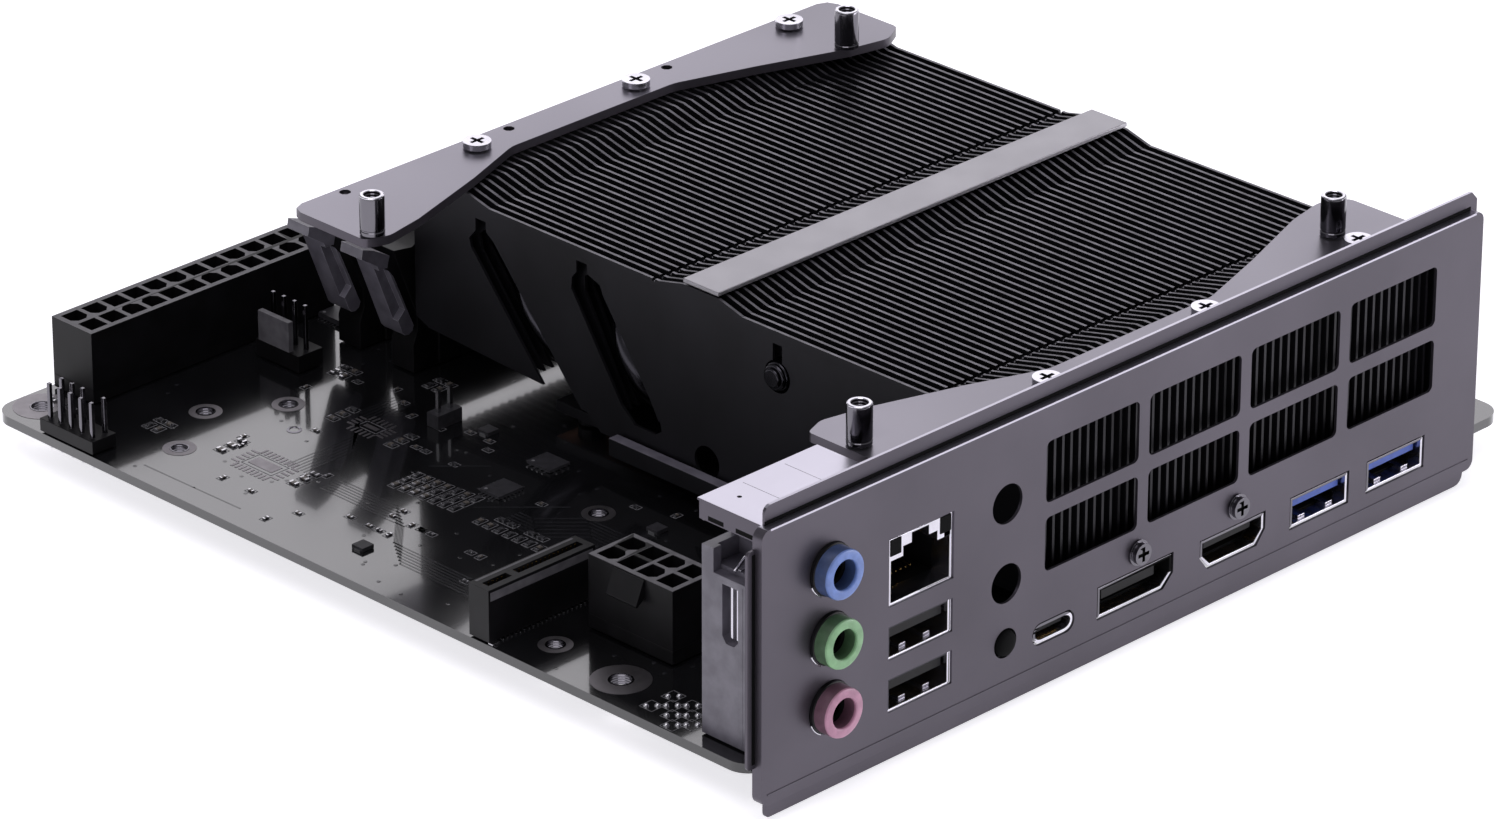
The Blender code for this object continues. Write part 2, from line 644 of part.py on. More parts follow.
def fin_outline(slotted):
    """One fin in (y, z): risen ends and ridge on top, an open slot for each pipe that bends at this end."""
    front, far = FIN_Y
    rise0, rise1 = BRACKET_SLOPE_Y
    mirror = 2 * BRACKET_MIRROR
    top = [
        (far, FIN_END_TOP), (mirror - rise0, FIN_END_TOP), (mirror - rise1, FIN_TOP),
        (RIDGE_Y[1] + RIDGE_SLOPE, FIN_TOP), (RIDGE_Y[1], RIDGE_TOP), (RIDGE_Y[0], RIDGE_TOP),
        (RIDGE_Y[0] - RIDGE_SLOPE, FIN_TOP), (rise1, FIN_TOP), (rise0, FIN_END_TOP), (front, FIN_END_TOP),
    ]
    bottom = [(front, FIN_FRONT_BOTTOM), (24.0, FIN_FRONT_BOTTOM), (27.0, FIN_BOTTOM)]
    for name in sorted(slotted, key=lambda pipe: PIPE_PATHS[pipe][1]):
        bottom += slot_points(name)
    return top + bottom + [(128.0, FIN_BOTTOM), (far, FIN_BOTTOM + 1.2)]


def slot_points(name):
    """The slanted slot round a pipe's bend, open at the fin's bottom edge."""
    (upper_y, upper_z), lower_y, _ = PIPE_PATHS[name]
    lower = Vector((lower_y, PIPE_LOW_Z))
    upper = Vector((upper_y, upper_z))
    along = (upper - lower).normalized()
    across = Vector((-along.y, along.x))
    half = PIPE_RADIUS + GAP
    if across.x > 0:
        across = -across
    reach = (FIN_BOTTOM - lower.y) / along.y
    front_low = lower + along * (reach - across.y * half / along.y) + across * half
    far_low = lower + along * (reach + across.y * half / along.y) - across * half
    return [
        tuple(front_low), tuple(upper + across * half),
        tuple(upper + across * half * 0.5 + along * half * 0.87),
        tuple(upper - across * half * 0.5 + along * half * 0.87),
        tuple(upper - across * half), tuple(far_low),
    ]


def bend_radius(name):
    (upper_y, upper_z), lower_y, _ = PIPE_PATHS[name]
    return math.hypot(upper_y - lower_y, upper_z - PIPE_LOW_Z) / 2


def make_fins():
    """Thin plates side by side along X, held by one narrow tie near the top of their ridge."""
    pitch = (FIN_X[1] - FIN_X[0] - FIN_THICK) / (FIN_COUNT - 1)
    kinds = {}
    fins = bmesh.new()
    for index in range(FIN_COUNT):
        x = FIN_X[0] + index * pitch
        slotted = frozenset(name for name in PIPE_PATHS if slot_reaches(name, x))
        if slotted not in kinds:
            passing = [path for name, path in PIPE_PATHS.items() if name not in slotted]
            holes = [circle(path[0], PIPE_HOLE, 4) for path in passing]
            plate = outline_mesh([fin_outline(slotted)] + holes, FIN_THICK)
            kinds[slotted] = bpy.data.meshes.new("fin_plate")
            plate.to_mesh(kinds[slotted])
            plate.free()
        before = len(fins.verts)
        fins.from_mesh(kinds[slotted])
        fins.verts.ensure_lookup_table()
        for vertex in fins.verts[before:]:
            u, v, w = vertex.co / MM
            vertex.co = (w + x + FIN_THICK / 2, u, v)
    bmesh.ops.recalc_face_normals(fins, faces=fins.faces)
    stack = mesh_object("fin_stack", fins, FIN_METAL)
    middle = (RIDGE_Y[0] + RIDGE_Y[1]) / 2
    top = RIDGE_TOP - 0.3
    low = (FIN_X[0] + 0.1, middle - TIE_SIZE[0] / 2, top - TIE_SIZE[1])
    high = (FIN_X[1] - 0.1, middle + TIE_SIZE[0] / 2, top)
    join(stack, box("fin_tie", low, high, None, 0, CUTTERS), "MANIFOLD")


def slot_reaches(name, x):
    """Whether a fin at x stands where this pipe bends."""
    reach = bend_radius(name) + PIPE_RADIUS + PIPE_END_INSET
    if PIPE_PATHS[name][2] < 0:
        return x < FIN_X[0] + reach
    return x > FIN_X[1] - reach - FIN_THICK


def make_pipes():
    """Each pipe runs under the fins, bends up at one end of the stack and runs back through the fins."""
    for name, ((upper_y, upper_z), lower_y, end) in PIPE_PATHS.items():
        radius = bend_radius(name)
        middle = Vector((0, (upper_y + lower_y) / 2, (upper_z + PIPE_LOW_Z) / 2))
        arm = Vector((0, upper_y - lower_y, upper_z - PIPE_LOW_Z)).normalized() * radius
        edge = FIN_X[0] if end < 0 else FIN_X[1]
        centre_x = edge - end * (radius + PIPE_RADIUS + PIPE_END_INSET)
        far_x = FIN_X[1] - 3 if end < 0 else FIN_X[0] + 3
        low_x = PLATE_HIGH[0] - 1 if end < 0 else PLATE_LOW[0] + 1
        points = [Vector((low_x, lower_y, PIPE_LOW_Z))]
        for step in range(BEND_STEPS + 1):
            turn = math.pi * step / BEND_STEPS
            point = middle - arm * math.cos(turn)
            point.x = centre_x + end * radius * math.sin(turn)
            points.append(point)
        points.append(Vector((far_x, upper_y, upper_z)))
        make_tube(name, points, PIPE_RADIUS, PIPE_METAL)


def make_tube(name, points, radius, paint):
    curve = bpy.data.curves.new(name, "CURVE")
    curve.dimensions = "3D"
    curve.bevel_depth = radius * MM
    curve.bevel_resolution = 2
    curve.use_fill_caps = True
    spline = curve.splines.new("POLY")
    spline.points.add(len(points) - 1)
    for place_on_curve, point in zip(spline.points, points):
        place_on_curve.co = (*(point * MM), 1)
    place(bpy.data.objects.new(name, curve), PARTS, paint)


def make_cold_plate():
    """A copper plate on the processor with a side rail and four feet that reach the board."""
    plate = box("cold_plate", PLATE_LOW, PLATE_HIGH, COPPER)
    high = (RAIL_X + 2.0, RAIL_Y[1], RAIL_Z[1])
    rail = box("plate_rail", (RAIL_X, RAIL_Y[0], RAIL_Z[0]), high, None, 0, CUTTERS)
    arm = box("plate_arm", (RAIL_X + 0.5, 56.0, RAIL_Z[0] - 0.2), (PLATE_LOW[0] + 1, 74.0, RAIL_Z[0] + 0.8),
              None, 0, CUTTERS)
    join(plate, arm)
    join(plate, rail)
    for index, (x, y) in enumerate(plate_feet()):
        foot = bmesh.new()
        add_round(foot, (x, y), 2.2, GAP, PLATE_LOW[2] + 0.5, "z", 8)
        join(plate, mesh_object(f"plate_foot_{index}", foot, None, (0, 0, 0), CUTTERS))


def plate_feet():
    x0, y0, _ = PLATE_LOW
    x1, y1, _ = PLATE_HIGH
    return [(x, y) for x in (x0 + 4, x1 - 4) for y in (y0 + 4, y1 - 4)]


def bracket_outline(mirrored):
    """A sheet with wide ends for the pillars and a narrow middle, in (x, y)."""
    x0, x1 = BRACKET_X
    points = [
        (x0, 130.6), (x0, 113.4), (x0 + 4.0, 111.9), (41.0, 113.4), (57.7, 118.7), (70.4, 123.5),
        (106.5, 123.5), (121.0, 119.0), (137.0, 113.4), (x1 - 4.6, 111.9), (x1, 114.4), (x1, 130.6),
    ]
    outline = rounded(points, [2.5, 1.0, 3.0, 6.0, 3.0, 6.0, 6.0, 3.0, 6.0, 3.0, 1.5, 2.5], 2)
    if mirrored:
        outline = [(x, 2 * BRACKET_MIRROR - y) for x, y in outline]
    return outline


def pillar_centres():
    half = FAN_HOLE_SPACING / 2
    return [(FAN_CENTRE[0] + i * half, FAN_CENTRE[1] + j * half) for j in (-1, 1) for i in (-1, 1)]


def make_brackets():
    for name, mirrored in (("bracket_front", True), ("bracket_far", False)):
        screw_y = 2 * BRACKET_MIRROR - BRACKET_SCREW_Y if mirrored else BRACKET_SCREW_Y
        holes = [circle((x, screw_y), 1.4, 8) for x in BRACKET_SCREWS_X]
        if not mirrored:
            holes += [circle((x, SMALL_BRACKET_HOLE_Y), 0.95, 8) for x in SMALL_BRACKET_HOLES_X]
        sheet = [bracket_outline(mirrored)] + holes
        extrude_along(name, sheet, "z", BRACKET_Z[0], BRACKET_Z[1], BRACKET_METAL)
        for index, x in enumerate(BRACKET_SCREWS_X):
            make_screw(f"{name}_screw_{index + 1}", (x, screw_y), "z", BRACKET_Z[1] + GAP, 1, 2.3, 1.0)
    for index, centre in enumerate(pillar_centres()):
        rings = [circle(centre, PILLAR_RADIUS), circle(centre, PILLAR_BORE, 10)]
        smooth(extrude_along(f"fan_pillar_{index + 1}", rings, "z", BRACKET_Z[1] + GAP, PILLAR_TOP, NICKEL))


def make_centre_bar():
    low = (FIN_X[0], RIDGE_Y[0], RIDGE_TOP + GAP)
    box("centre_bar", low, (FIN_X[1], RIDGE_Y[1], RIDGE_TOP + GAP + BAR_THICK), BAR_METAL)


def make_processor():
    x, y = PROCESSOR_CENTRE
    width, depth, height = PACKAGE_SIZE
    package = box("processor", (x - width / 2, y - depth / 2, 0.1 + GAP / 2),
                  (x + width / 2, y + depth / 2, height), PACKAGE_GREEN)
    width, depth, height = DIE_SIZE
    die = box("processor_die", (x - width / 2, y - depth / 2, PACKAGE_SIZE[2] - 0.2),
              (x + width / 2, y + depth / 2, PACKAGE_SIZE[2] + height), None, 0, CUTTERS)
    join(package, die)
    width, depth, height = BACKPLATE_SIZE
    top = -BOARD_THICK - GAP
    low = (x - width / 2, y - depth / 2, top - height)
    box("backplate", low, (x + width / 2, y + depth / 2, top), NICKEL, 0.3)


def power_socket(name, low, counts, tab):
    """A black housing of square cells with a catch tab on one side."""
    x0, y0 = low
    x1 = x0 + counts[0] * CELL_PITCH + 2 * POWER_WALL
    y1 = y0 + counts[1] * CELL_PITCH + 2 * POWER_WALL
    housing = box(name, (x0, y0, GAP), (x1, y1, POWER_HEIGHT), BLACK_PLASTIC)
    cells = []
    for i in range(counts[0]):
        for j in range(counts[1]):
            cell_x = x0 + POWER_WALL + (i + 0.5) * CELL_PITCH
            cell_y = y0 + POWER_WALL + (j + 0.5) * CELL_PITCH
            half = CELL_SIDE / 2
            cells.append(((cell_x - half, cell_y - half, POWER_HEIGHT - CELL_DEPTH),
                          (cell_x + half, cell_y + half, POWER_HEIGHT + 1)))
    join(housing, extrude_along(name + "_tab", [tab["outline"]], tab["axis"], *tab["span"], None, CUTTERS))
    cut(housing, blocks(name + "_cells", cells, None, CUTTERS))


def make_power_sockets():
    y1 = ATX_LOW[1] + 2 * CELL_PITCH + 2 * POWER_WALL
    middle = ATX_LOW[0] + POWER_WALL + 6 * CELL_PITCH
    ramp = [(y1 - 0.3, 7.0), (y1 + 0.9, 8.2), (y1 + 0.9, 10.4), (y1 - 0.3, 10.8)]
    tab = {"outline": ramp, "axis": "x", "span": (middle - 3, middle + 3)}
    power_socket("atx_power_24", ATX_LOW, (12, 2), tab)
    x0 = EPS_LOW[0]
    middle = EPS_LOW[1] + POWER_WALL + 2 * CELL_PITCH
    ramp = [(x0 + 0.3, 11.4), (x0 - 1.7, 10.6), (x0 - 1.9, 8.2), (x0 + 0.3, 8.6)]
    tab = {"outline": ramp, "axis": "y", "span": (middle - 3.2, middle + 3.2)}
    power_socket("eps_power_8", EPS_LOW, (2, 4), tab)


def pin_header(name, base_low, base_high, pins, top, extra=None):
    """A plastic base with square pins standing in it."""
    base = box(name, base_low, base_high, BLACK_PLASTIC)
    half = PIN_SIDE / 2
    corners = [((x - half, y - half, base_high[2] - 0.4), (x + half, y + half, top)) for x, y in pins]
    join(base, blocks(name + "_pins", corners, None, CUTTERS))
    if extra:
        join(base, blocks(name + "_tab", [extra], None, CUTTERS))


def make_headers():
    x0, y0 = PANEL_HEADER
    pins = [
        (x0 + column * PIN_PITCH, y0 + row * PIN_PITCH)
        for column in range(2) for row in range(5) if (column, row) != (1, 1)
    ]
    high = (x0 + PIN_PITCH + 1.2, y0 + 4 * PIN_PITCH + 1.27, 2.5)
    pin_header("front_panel_header", (x0 - 1.2, y0 - 1.27, GAP), high, pins, PANEL_PIN_TOP)
    x0, y0 = FAN_HEADER
    pins = [(x0, y0 + row * PIN_PITCH) for row in range(4)]
    low = (x0 - 2.9, y0 - 1.3, GAP)
    high = (x0 + 2.4, y0 + 3 * PIN_PITCH + 1.3, 3.2)
    tab = ((low[0] + 0.05, y0 + 1.0, 3.0), (low[0] + 1.1, high[1] - 0.6, 8.4))
    pin_header("fan_header", low, high, pins, FAN_PIN_TOP, tab)


def make_wifi_socket():
    """A short card socket that stands upright at the left edge, with a keyed groove in its top."""
    socket = box("upright_card_socket", (*WIFI_LOW, GAP), (*WIFI_HIGH, WIFI_TOP), BLACK_PLASTIC)
    middle = (WIFI_LOW[1] + WIFI_HIGH[1]) / 2
    grooves = [
        ((WIFI_LOW[0] + 1.2, middle - 0.9, 3.0), (WIFI_LOW[0] + 6.0, middle + 0.5, WIFI_TOP + 1)),
        ((WIFI_LOW[0] + 7.4, middle - 0.9, 3.0), (WIFI_HIGH[0] - 1.2, middle + 0.5, WIFI_TOP + 1)),
    ]
    cut(socket, blocks("card_grooves", grooves, None, CUTTERS))


def tower_outline():
    """The socket's left end in (x, z): its outer side leans with the lever, its top dips in the middle."""
    x0 = MEMORY_X[0]
    return [
        (x0 - 0.4, GAP), (x0 + 6.0, GAP), (x0 + 6.0, TOWER_TOP), (x0 + 3.4, TOWER_TOP),
        (x0 - 0.2, TOWER_TOP - 2.0),
        (x0 - 4.2, TOWER_TOP - 1.4), (x0 - 3.0, 19.6), (x0 + 0.6, 10.4), (x0 + 0.6, 7.4), (x0 - 0.4, 5.0),
    ]


def lever_outline():
    """The lever in (x, z): a hooked head, a leaning arm and a round foot on its pivot."""
    foot = arc_points(LEVER_PIVOT, LEVER_FOOT, (200, 240, 280, 320, 0))
    arm = [(52.3, 18.6), (51.0, 20.2), (51.6, 22.4)]
    hook = [(48.2, 24.4), (45.9, 25.2), (45.6, 23.6), (48.9, 21.4)]
    return foot + arm + hook


def mirrored_x(outline):
    middle = (MEMORY_X[0] + MEMORY_X[1]) / 2
    return [(2 * middle - x, z) for x, z in outline]


def make_memory():
    """Upright memory sockets; each has an end tower and a lever at both ends."""
    for row, y in MEMORY_ROWS.items():
        half = MEMORY_WIDTH / 2
        middle_x = (MEMORY_X[0] + MEMORY_X[1]) / 2
        name = "memory_socket_" + row
        high = (MEMORY_X[1] - 5.0, y + half, MEMORY_HOUSING_TOP)
        socket = box(name, (MEMORY_X[0] + 5.0, y - half, GAP), high, BLACK_PLASTIC)
        span = (y - half + 0.4, y + half - 0.4)
        for side, outline in (("left", tower_outline()), ("right", mirrored_x(tower_outline()))):
            join(socket, extrude_along(f"{name}_{side}", [outline], "y", *span, None, CUTTERS))
        low_x, high_x = MEMORY_X[0] + 4.5, MEMORY_X[1] - 4.5
        split = middle_x + 1.8
        grooves = [
            ((low_x, y - 0.65, 4.0), (split - 0.9, y + 0.65, TOWER_TOP + 1)),
            ((split + 0.9, y - 0.65, 4.0), (high_x, y + 0.65, TOWER_TOP + 1)),
        ]
        cut(socket, blocks(name + "_grooves", grooves, None, CUTTERS))
        for side, outline in (("left", lever_outline()), ("right", mirrored_x(lever_outline()))):
            make_lever(f"memory_lever_{row}_{side}", outline, side, y)


def make_lever(name, outline, side, y):
    """A leaning lever with a long window, its origin on its pivot."""
    middle_x = (MEMORY_X[0] + MEMORY_X[1]) / 2
    pivot_x = LEVER_PIVOT[0] if side == "left" else 2 * middle_x - LEVER_PIVOT[0]
    half = LEVER_WIDTH / 2
    lever = extrude_along(name, [outline], "y", y - half, y + half, GREY_PLASTIC)
    window = [(52.2, 9.5), (49.2, 20.5), (51.0, 20.5), (54.6, 12.0)]
    window = window if side == "left" else mirrored_x(window)
    cut(lever, extrude_along(name + "_window", [window], "y", y - half - 1, y - half + 1.2, None, CUTTERS))
    lever.data.transform(translation((-pivot_x, -y, -LEVER_PIVOT[1])))
    lever.location = Vector((pivot_x, y, LEVER_PIVOT[1])) * MM


def translation(offset):
    return Matrix.Translation(Vector(offset) * MM)


def make_card_slot():
    """The long card slot along the right edge, with a retention lever at its far end."""
    x0, x1 = CARD_SLOT_X
    y0, y1 = CARD_SLOT_Y
    slot = box("card_slot_x16", (x0, y0, GAP), (x1, y1, CARD_SLOT_TOP), BLACK_PLASTIC)
    middle = (x0 + x1) / 2
    half = CARD_GROOVE / 2
    grooves = [
        ((middle - half, y0 + 1.5, 3.0), (middle + half, y0 + CARD_KEY[0], CARD_SLOT_TOP + 1)),
        ((middle - half, y0 + CARD_KEY[1], 3.0), (middle + half, y1 - 1.2, CARD_SLOT_TOP + 1)),
    ]
    cut(slot, blocks("card_slot_grooves", grooves, None, CUTTERS))
    foot = arc_points(LATCH_PIVOT, LATCH_FOOT, (200, 250, 290, 340))
    arm = [(y1 + 4.6, 7.6), (y1 + 7.2, 12.4), (y1 + 5.2, 13.2), (y1 + 2.2, 10.0), (y1 + 0.6, 9.6)]
    side = LATCH_WIDTH / 2
    latch = extrude_along("card_slot_latch", [foot + arm], "x", middle - side, middle + side, GREY_PLASTIC)
    latch.data.transform(translation((-middle, -LATCH_PIVOT[0], -LATCH_PIVOT[1])))
    latch.location = Vector((middle, *LATCH_PIVOT)) * MM


def main():
    make_board()
    make_shield()
    make_audio_stack()
    make_lan_stack()
    make_cover()
    make_button()
    make_sockets()
    make_fins()
    make_pipes()
    make_cold_plate()
    make_brackets()
    make_centre_bar()
    make_processor()
    make_power_sockets()
    make_headers()
    make_wifi_socket()
    make_memory()
    make_card_slot()


main()
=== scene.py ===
"""The looks of a small square motherboard with a low fin cooler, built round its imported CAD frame.

Shapes are written in board millimetres: X along the rear edge, Y from the rear edge to the far edge and Z up from
the board's top face. Shape.finish turns them into metres in the frame's own axes.
"""
import json
import math
import random

import bmesh
import bpy
from mathutils import Matrix, Vector


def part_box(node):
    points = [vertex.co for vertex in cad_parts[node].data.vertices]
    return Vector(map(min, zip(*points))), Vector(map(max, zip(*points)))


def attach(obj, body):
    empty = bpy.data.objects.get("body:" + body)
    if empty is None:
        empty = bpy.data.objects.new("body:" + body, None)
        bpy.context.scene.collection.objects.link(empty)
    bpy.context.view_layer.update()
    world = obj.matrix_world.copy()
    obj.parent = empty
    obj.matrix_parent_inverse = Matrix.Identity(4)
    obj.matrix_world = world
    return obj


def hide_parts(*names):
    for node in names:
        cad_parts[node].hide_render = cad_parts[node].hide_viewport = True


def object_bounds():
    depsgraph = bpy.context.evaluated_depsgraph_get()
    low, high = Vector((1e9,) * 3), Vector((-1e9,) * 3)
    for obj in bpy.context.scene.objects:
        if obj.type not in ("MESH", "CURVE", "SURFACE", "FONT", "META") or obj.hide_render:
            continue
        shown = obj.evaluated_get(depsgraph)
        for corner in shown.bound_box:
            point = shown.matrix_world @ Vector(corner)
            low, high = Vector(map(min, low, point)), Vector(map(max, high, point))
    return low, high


bl_info = {
    "name": "Motherboard looks",
    "version": (1, 0, 0),
    "blender": (4, 5, 0),
    "location": "View3D > Sidebar > Motherboard",
    "description": "Finished pieces and materials for a small square motherboard with a low fin cooler",
    "category": "Object",
}

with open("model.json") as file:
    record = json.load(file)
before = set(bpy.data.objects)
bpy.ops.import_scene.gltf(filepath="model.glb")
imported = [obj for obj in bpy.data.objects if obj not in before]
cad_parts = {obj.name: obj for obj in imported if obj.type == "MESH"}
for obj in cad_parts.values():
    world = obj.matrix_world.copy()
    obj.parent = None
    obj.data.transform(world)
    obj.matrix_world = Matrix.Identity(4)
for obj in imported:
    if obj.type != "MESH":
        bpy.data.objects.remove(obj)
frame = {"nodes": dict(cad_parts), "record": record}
CAD_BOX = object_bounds()
MM = 0.001
BOARD_LOW, BOARD_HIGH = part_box("pcb")
ORIGIN = Vector((BOARD_LOW.x, BOARD_LOW.y, BOARD_HIGH.z))
BOARD = (BOARD_HIGH.x - BOARD_LOW.x) / MM
UNDERSIDE = (BOARD_LOW.z - BOARD_HIGH.z) / MM
BODY_OF = {node: body for body, nodes in frame["record"]["behaviour"]["bodies"].items() for node in nodes}


def span(node):
    """A CAD node's lowest and highest corners in board millimetres."""
    low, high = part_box(node)
    return (low - ORIGIN) / MM, (high - ORIGIN) / MM


def linear(code):
    """Linear RGB of an sRGB hex colour."""
    parts = [int(code[i:i + 2], 16) / 255 for i in (0, 2, 4)]
    return tuple(p / 12.92 if p <= 0.04045 else ((p + 0.055) / 1.055) ** 2.4 for p in parts)


# ---------------------------------------------------------------- materials

FINISHES = {}


def add(tree, kind, settings=None, inputs=None):
    """Adds one node with its settings and inputs; an input given as (node, output) becomes a link."""
    made = tree.nodes.new(kind)
    for name, value in (settings or {}).items():
        setattr(made, name, value)
    for name, value in (inputs or {}).items():
        if isinstance(value, tuple) and isinstance(value[0], bpy.types.Node):
            tree.links.new(value[0].outputs[value[1]], made.inputs[name])
        else:
            made.inputs[name].default_value = value
    return made


def per_mm(size):
    """A texture's scale for features of this size in millimetres, on coordinates in metres."""
    return 1 / (size * MM)


def new_finish(key, name, colour, roughness, metallic=0.0, **shader_values):
    """A material with its Principled shader and object coordinates; returns its tree, shader and coordinates."""
    made = bpy.data.materials.new(name)
    made.use_nodes = True
    made.diffuse_color = (*colour, 1.0)
    tree = made.node_tree
    shader = tree.nodes["Principled BSDF"]
    shader.inputs["Base Color"].default_value = (*colour, 1.0)
    shader.inputs["Roughness"].default_value = roughness
    shader.inputs["Metallic"].default_value = metallic
    for name_of_input, value in shader_values.items():
        shader.inputs[name_of_input.replace("_", " ")].default_value = value
    FINISHES[key] = made
    place = add(tree, "ShaderNodeTexCoord")
    return tree, shader, (place, "Object")


def mottle(tree, shader, where, size, low, high):
    """Colour that drifts between two tones over patches of the given size."""
    noise = add(tree, "ShaderNodeTexNoise", None, {"Vector": where, "Scale": per_mm(size), "Detail": 5.0})
    ramp = add(tree, "ShaderNodeValToRGB", None, {"Fac": (noise, "Fac")})
    ramp.color_ramp.elements[0].position = 0.35
    ramp.color_ramp.elements[1].position = 0.65
    ramp.color_ramp.elements[0].color = (*low, 1.0)
    ramp.color_ramp.elements[1].color = (*high, 1.0)
    tree.links.new(ramp.outputs["Color"], shader.inputs["Base Color"])


def shade(colour, share):
    """A colour made darker or lighter by one share on all three channels."""
    return tuple(channel * share for channel in colour)


def wear(tree, shader, where, size, low, high):
    """Roughness that varies between two values over patches of the given size, as handling leaves it."""
    noise = add(tree, "ShaderNodeTexNoise", None, {"Vector": where, "Scale": per_mm(size), "Detail": 6.0})
    spread = add(tree, "ShaderNodeMapRange", None, {"Value": (noise, "Fac"), "To Min": low, "To Max": high})
    tree.links.new(spread.outputs["Result"], shader.inputs["Roughness"])


def grain(tree, shader, where, size, depth, stretch=(1, 1, 1)):
    """A fine bump of the given grain size and depth in millimetres; stretch draws it out along an axis."""
    turned = add(tree, "ShaderNodeMapping", None, {"Vector": where, "Scale": stretch})
    noise = add(tree, "ShaderNodeTexNoise", None, {
        "Vector": (turned, "Vector"), "Scale": per_mm(size), "Detail": 3.0,
    })
    bump = add(tree, "ShaderNodeBump", None, {
        "Height": (noise, "Fac"), "Strength": 0.6, "Distance": depth * MM,
    })
    tree.links.new(bump.outputs["Normal"], shader.inputs["Normal"])


def finish_solder_mask(settings):
    """Epoxy solder mask over glass laminate, screen printed: deep gloss black, greyer where copper lies under it."""
    tree, shader, where = new_finish("mask", "gloss_black_solder_mask", tuple(settings.mask_colour), 0.14,
                                     Coat_Weight=0.95, Coat_Roughness=0.06)
    mottle(tree, shader, where, 22.0, shade(settings.mask_colour, 0.65), shade(settings.mask_colour, 1.5))
    wear(tree, shader, where, 9.0, 0.1, 0.2)
    # The glass cloth under the mask has a 0.5 mm weave, which prints through as a faint ripple.
    grain(tree, shader, where, 0.5, 0.004)


def finish_track():
    """Copper track under solder mask: a hair above the board and a shade lighter."""
    tree, shader, where = new_finish("track", "masked_copper_track", linear("232327"), 0.2, Coat_Weight=0.5)
    mottle(tree, shader, where, 6.0, linear("1d1d20"), linear("2b2b2f"))


def finish_silk():
    """Silk-screen ink, printed: flat light grey that sits on the mask and has a faintly broken edge."""
    tree, shader, where = new_finish("silk", "grey_screen_ink", linear("77767a"), 0.6)
    mottle(tree, shader, where, 0.4, linear("605f63"), linear("86858a"))


def finish_pad():
    """Hot-tinned copper pad: soft grey metal with slow waves from the air knife."""
    tree, shader, where = new_finish("pad", "levelled_tin_pad", linear("8a868a"), 0.4, 1.0)
    wear(tree, shader, where, 1.2, 0.32, 0.5)
    grain(tree, shader, where, 1.0, 0.01)


def finish_solder():
    """Reflowed solder: bright round fillets."""
    tree, shader, where = new_finish("solder", "bright_solder", linear("c9c8cc"), 0.18, 1.0)
    wear(tree, shader, where, 0.8, 0.12, 0.3)


def finish_shield(settings):
    """Pressed steel sheet with a dark grey bead-blasted lacquer: satin, with a fine even grain."""
    tree, shader, where = new_finish("shield", "satin_dark_lacquered_steel", tuple(settings.shield_colour), 0.36, 0.85)
    mottle(tree, shader, where, 30.0, shade(settings.shield_colour, 0.9), shade(settings.shield_colour, 1.1))
    wear(tree, shader, where, 14.0, 0.32, 0.42)
    # Real blasting grit leaves pits near 0.1 mm; they are drawn at 0.25 mm so that they show.
    grain(tree, shader, where, 0.25, 0.006)


def finish_bracket(settings):
    """Blasted stainless sheet: light satin grey with faint rolling lines along the sheet."""
    tree, shader, where = new_finish("bracket", "satin_stainless_sheet", tuple(settings.bracket_colour), 0.34, 1.0)
    mottle(tree, shader, where, 40.0, shade(settings.bracket_colour, 0.89), shade(settings.bracket_colour, 1.12))
    wear(tree, shader, where, 10.0, 0.28, 0.38)
    grain(tree, shader, where, 0.3, 0.005, (0.08, 1, 1))


def finish_bar():
    """Extruded aluminium bar, glass-bead blasted: pale, soft and even."""
    tree, shader, where = new_finish("bar", "bead_blasted_aluminium", linear("a5a3a8"), 0.42, 1.0)
    wear(tree, shader, where, 6.0, 0.36, 0.48)
    grain(tree, shader, where, 0.25, 0.008)


def finish_fin():
    """Stamped aluminium fin with black oxide: near black, with a low satin sheen on its flat sides."""
    tree, shader, where = new_finish("fin", "black_anodised_fin", linear("1c1b1f"), 0.42, 0.6)
    mottle(tree, shader, where, 18.0, linear("18171b"), linear("222126"))
    grain(tree, shader, where, 0.4, 0.004, (1, 0.1, 1))


def finish_fin_top_highlight():
    """The top edge of a fin, painted grey as a highlight."""
    tree, shader, where = new_finish("fin_top_highlight", "painted_fin_top_highlight", linear("5f5d63"), 0.4, 0.9)
    mottle(tree, shader, where, 3.0, linear("57555b"), linear("727077"))


def finish_pipe():
    """Drawn copper pipe with black nickel plate: dark and glossy, with faint rings from the drawing die."""
    tree, shader, where = new_finish("pipe", "black_nickel_pipe", linear("3a393e"), 0.2, 1.0)
    wear(tree, shader, where, 3.0, 0.14, 0.28)
    grain(tree, shader, where, 0.6, 0.004, (0.2, 1, 1))


def finish_plated():
    """Tin-plated pressed steel: bright and slightly wavy, with fine handling marks."""
    tree, shader, where = new_finish("plated", "bright_tin_plated_steel", linear("d2d0d8"), 0.2, 1.0)
    mottle(tree, shader, where, 8.0, linear("c4c2ca"), linear("dcdae2"))
    wear(tree, shader, where, 2.5, 0.14, 0.3)
    grain(tree, shader, where, 0.8, 0.004, (1, 0.15, 1))


def finish_cover():
    """Tin-plated spring steel sheet, flattened under a roller: smooth, pale and even."""
    tree, shader, where = new_finish("cover", "rolled_tin_plated_sheet", linear("c0bdc9"), 0.3, 1.0)
    mottle(tree, shader, where, 25.0, linear("bdbac6"), linear("c4c1cd"))
    wear(tree, shader, where, 12.0, 0.27, 0.33)
    grain(tree, shader, where, 0.6, 0.002, (1, 0.1, 1))


def finish_nickel():
    """Machined brass with black nickel: mirror dark, with turning lines round it."""
    tree, shader, where = new_finish("nickel", "polished_black_nickel", linear("6e6c72"), 0.12, 1.0)
    wear(tree, shader, where, 1.5, 0.08, 0.2)
    grain(tree, shader, where, 0.25, 0.003, (0.2, 0.2, 1))


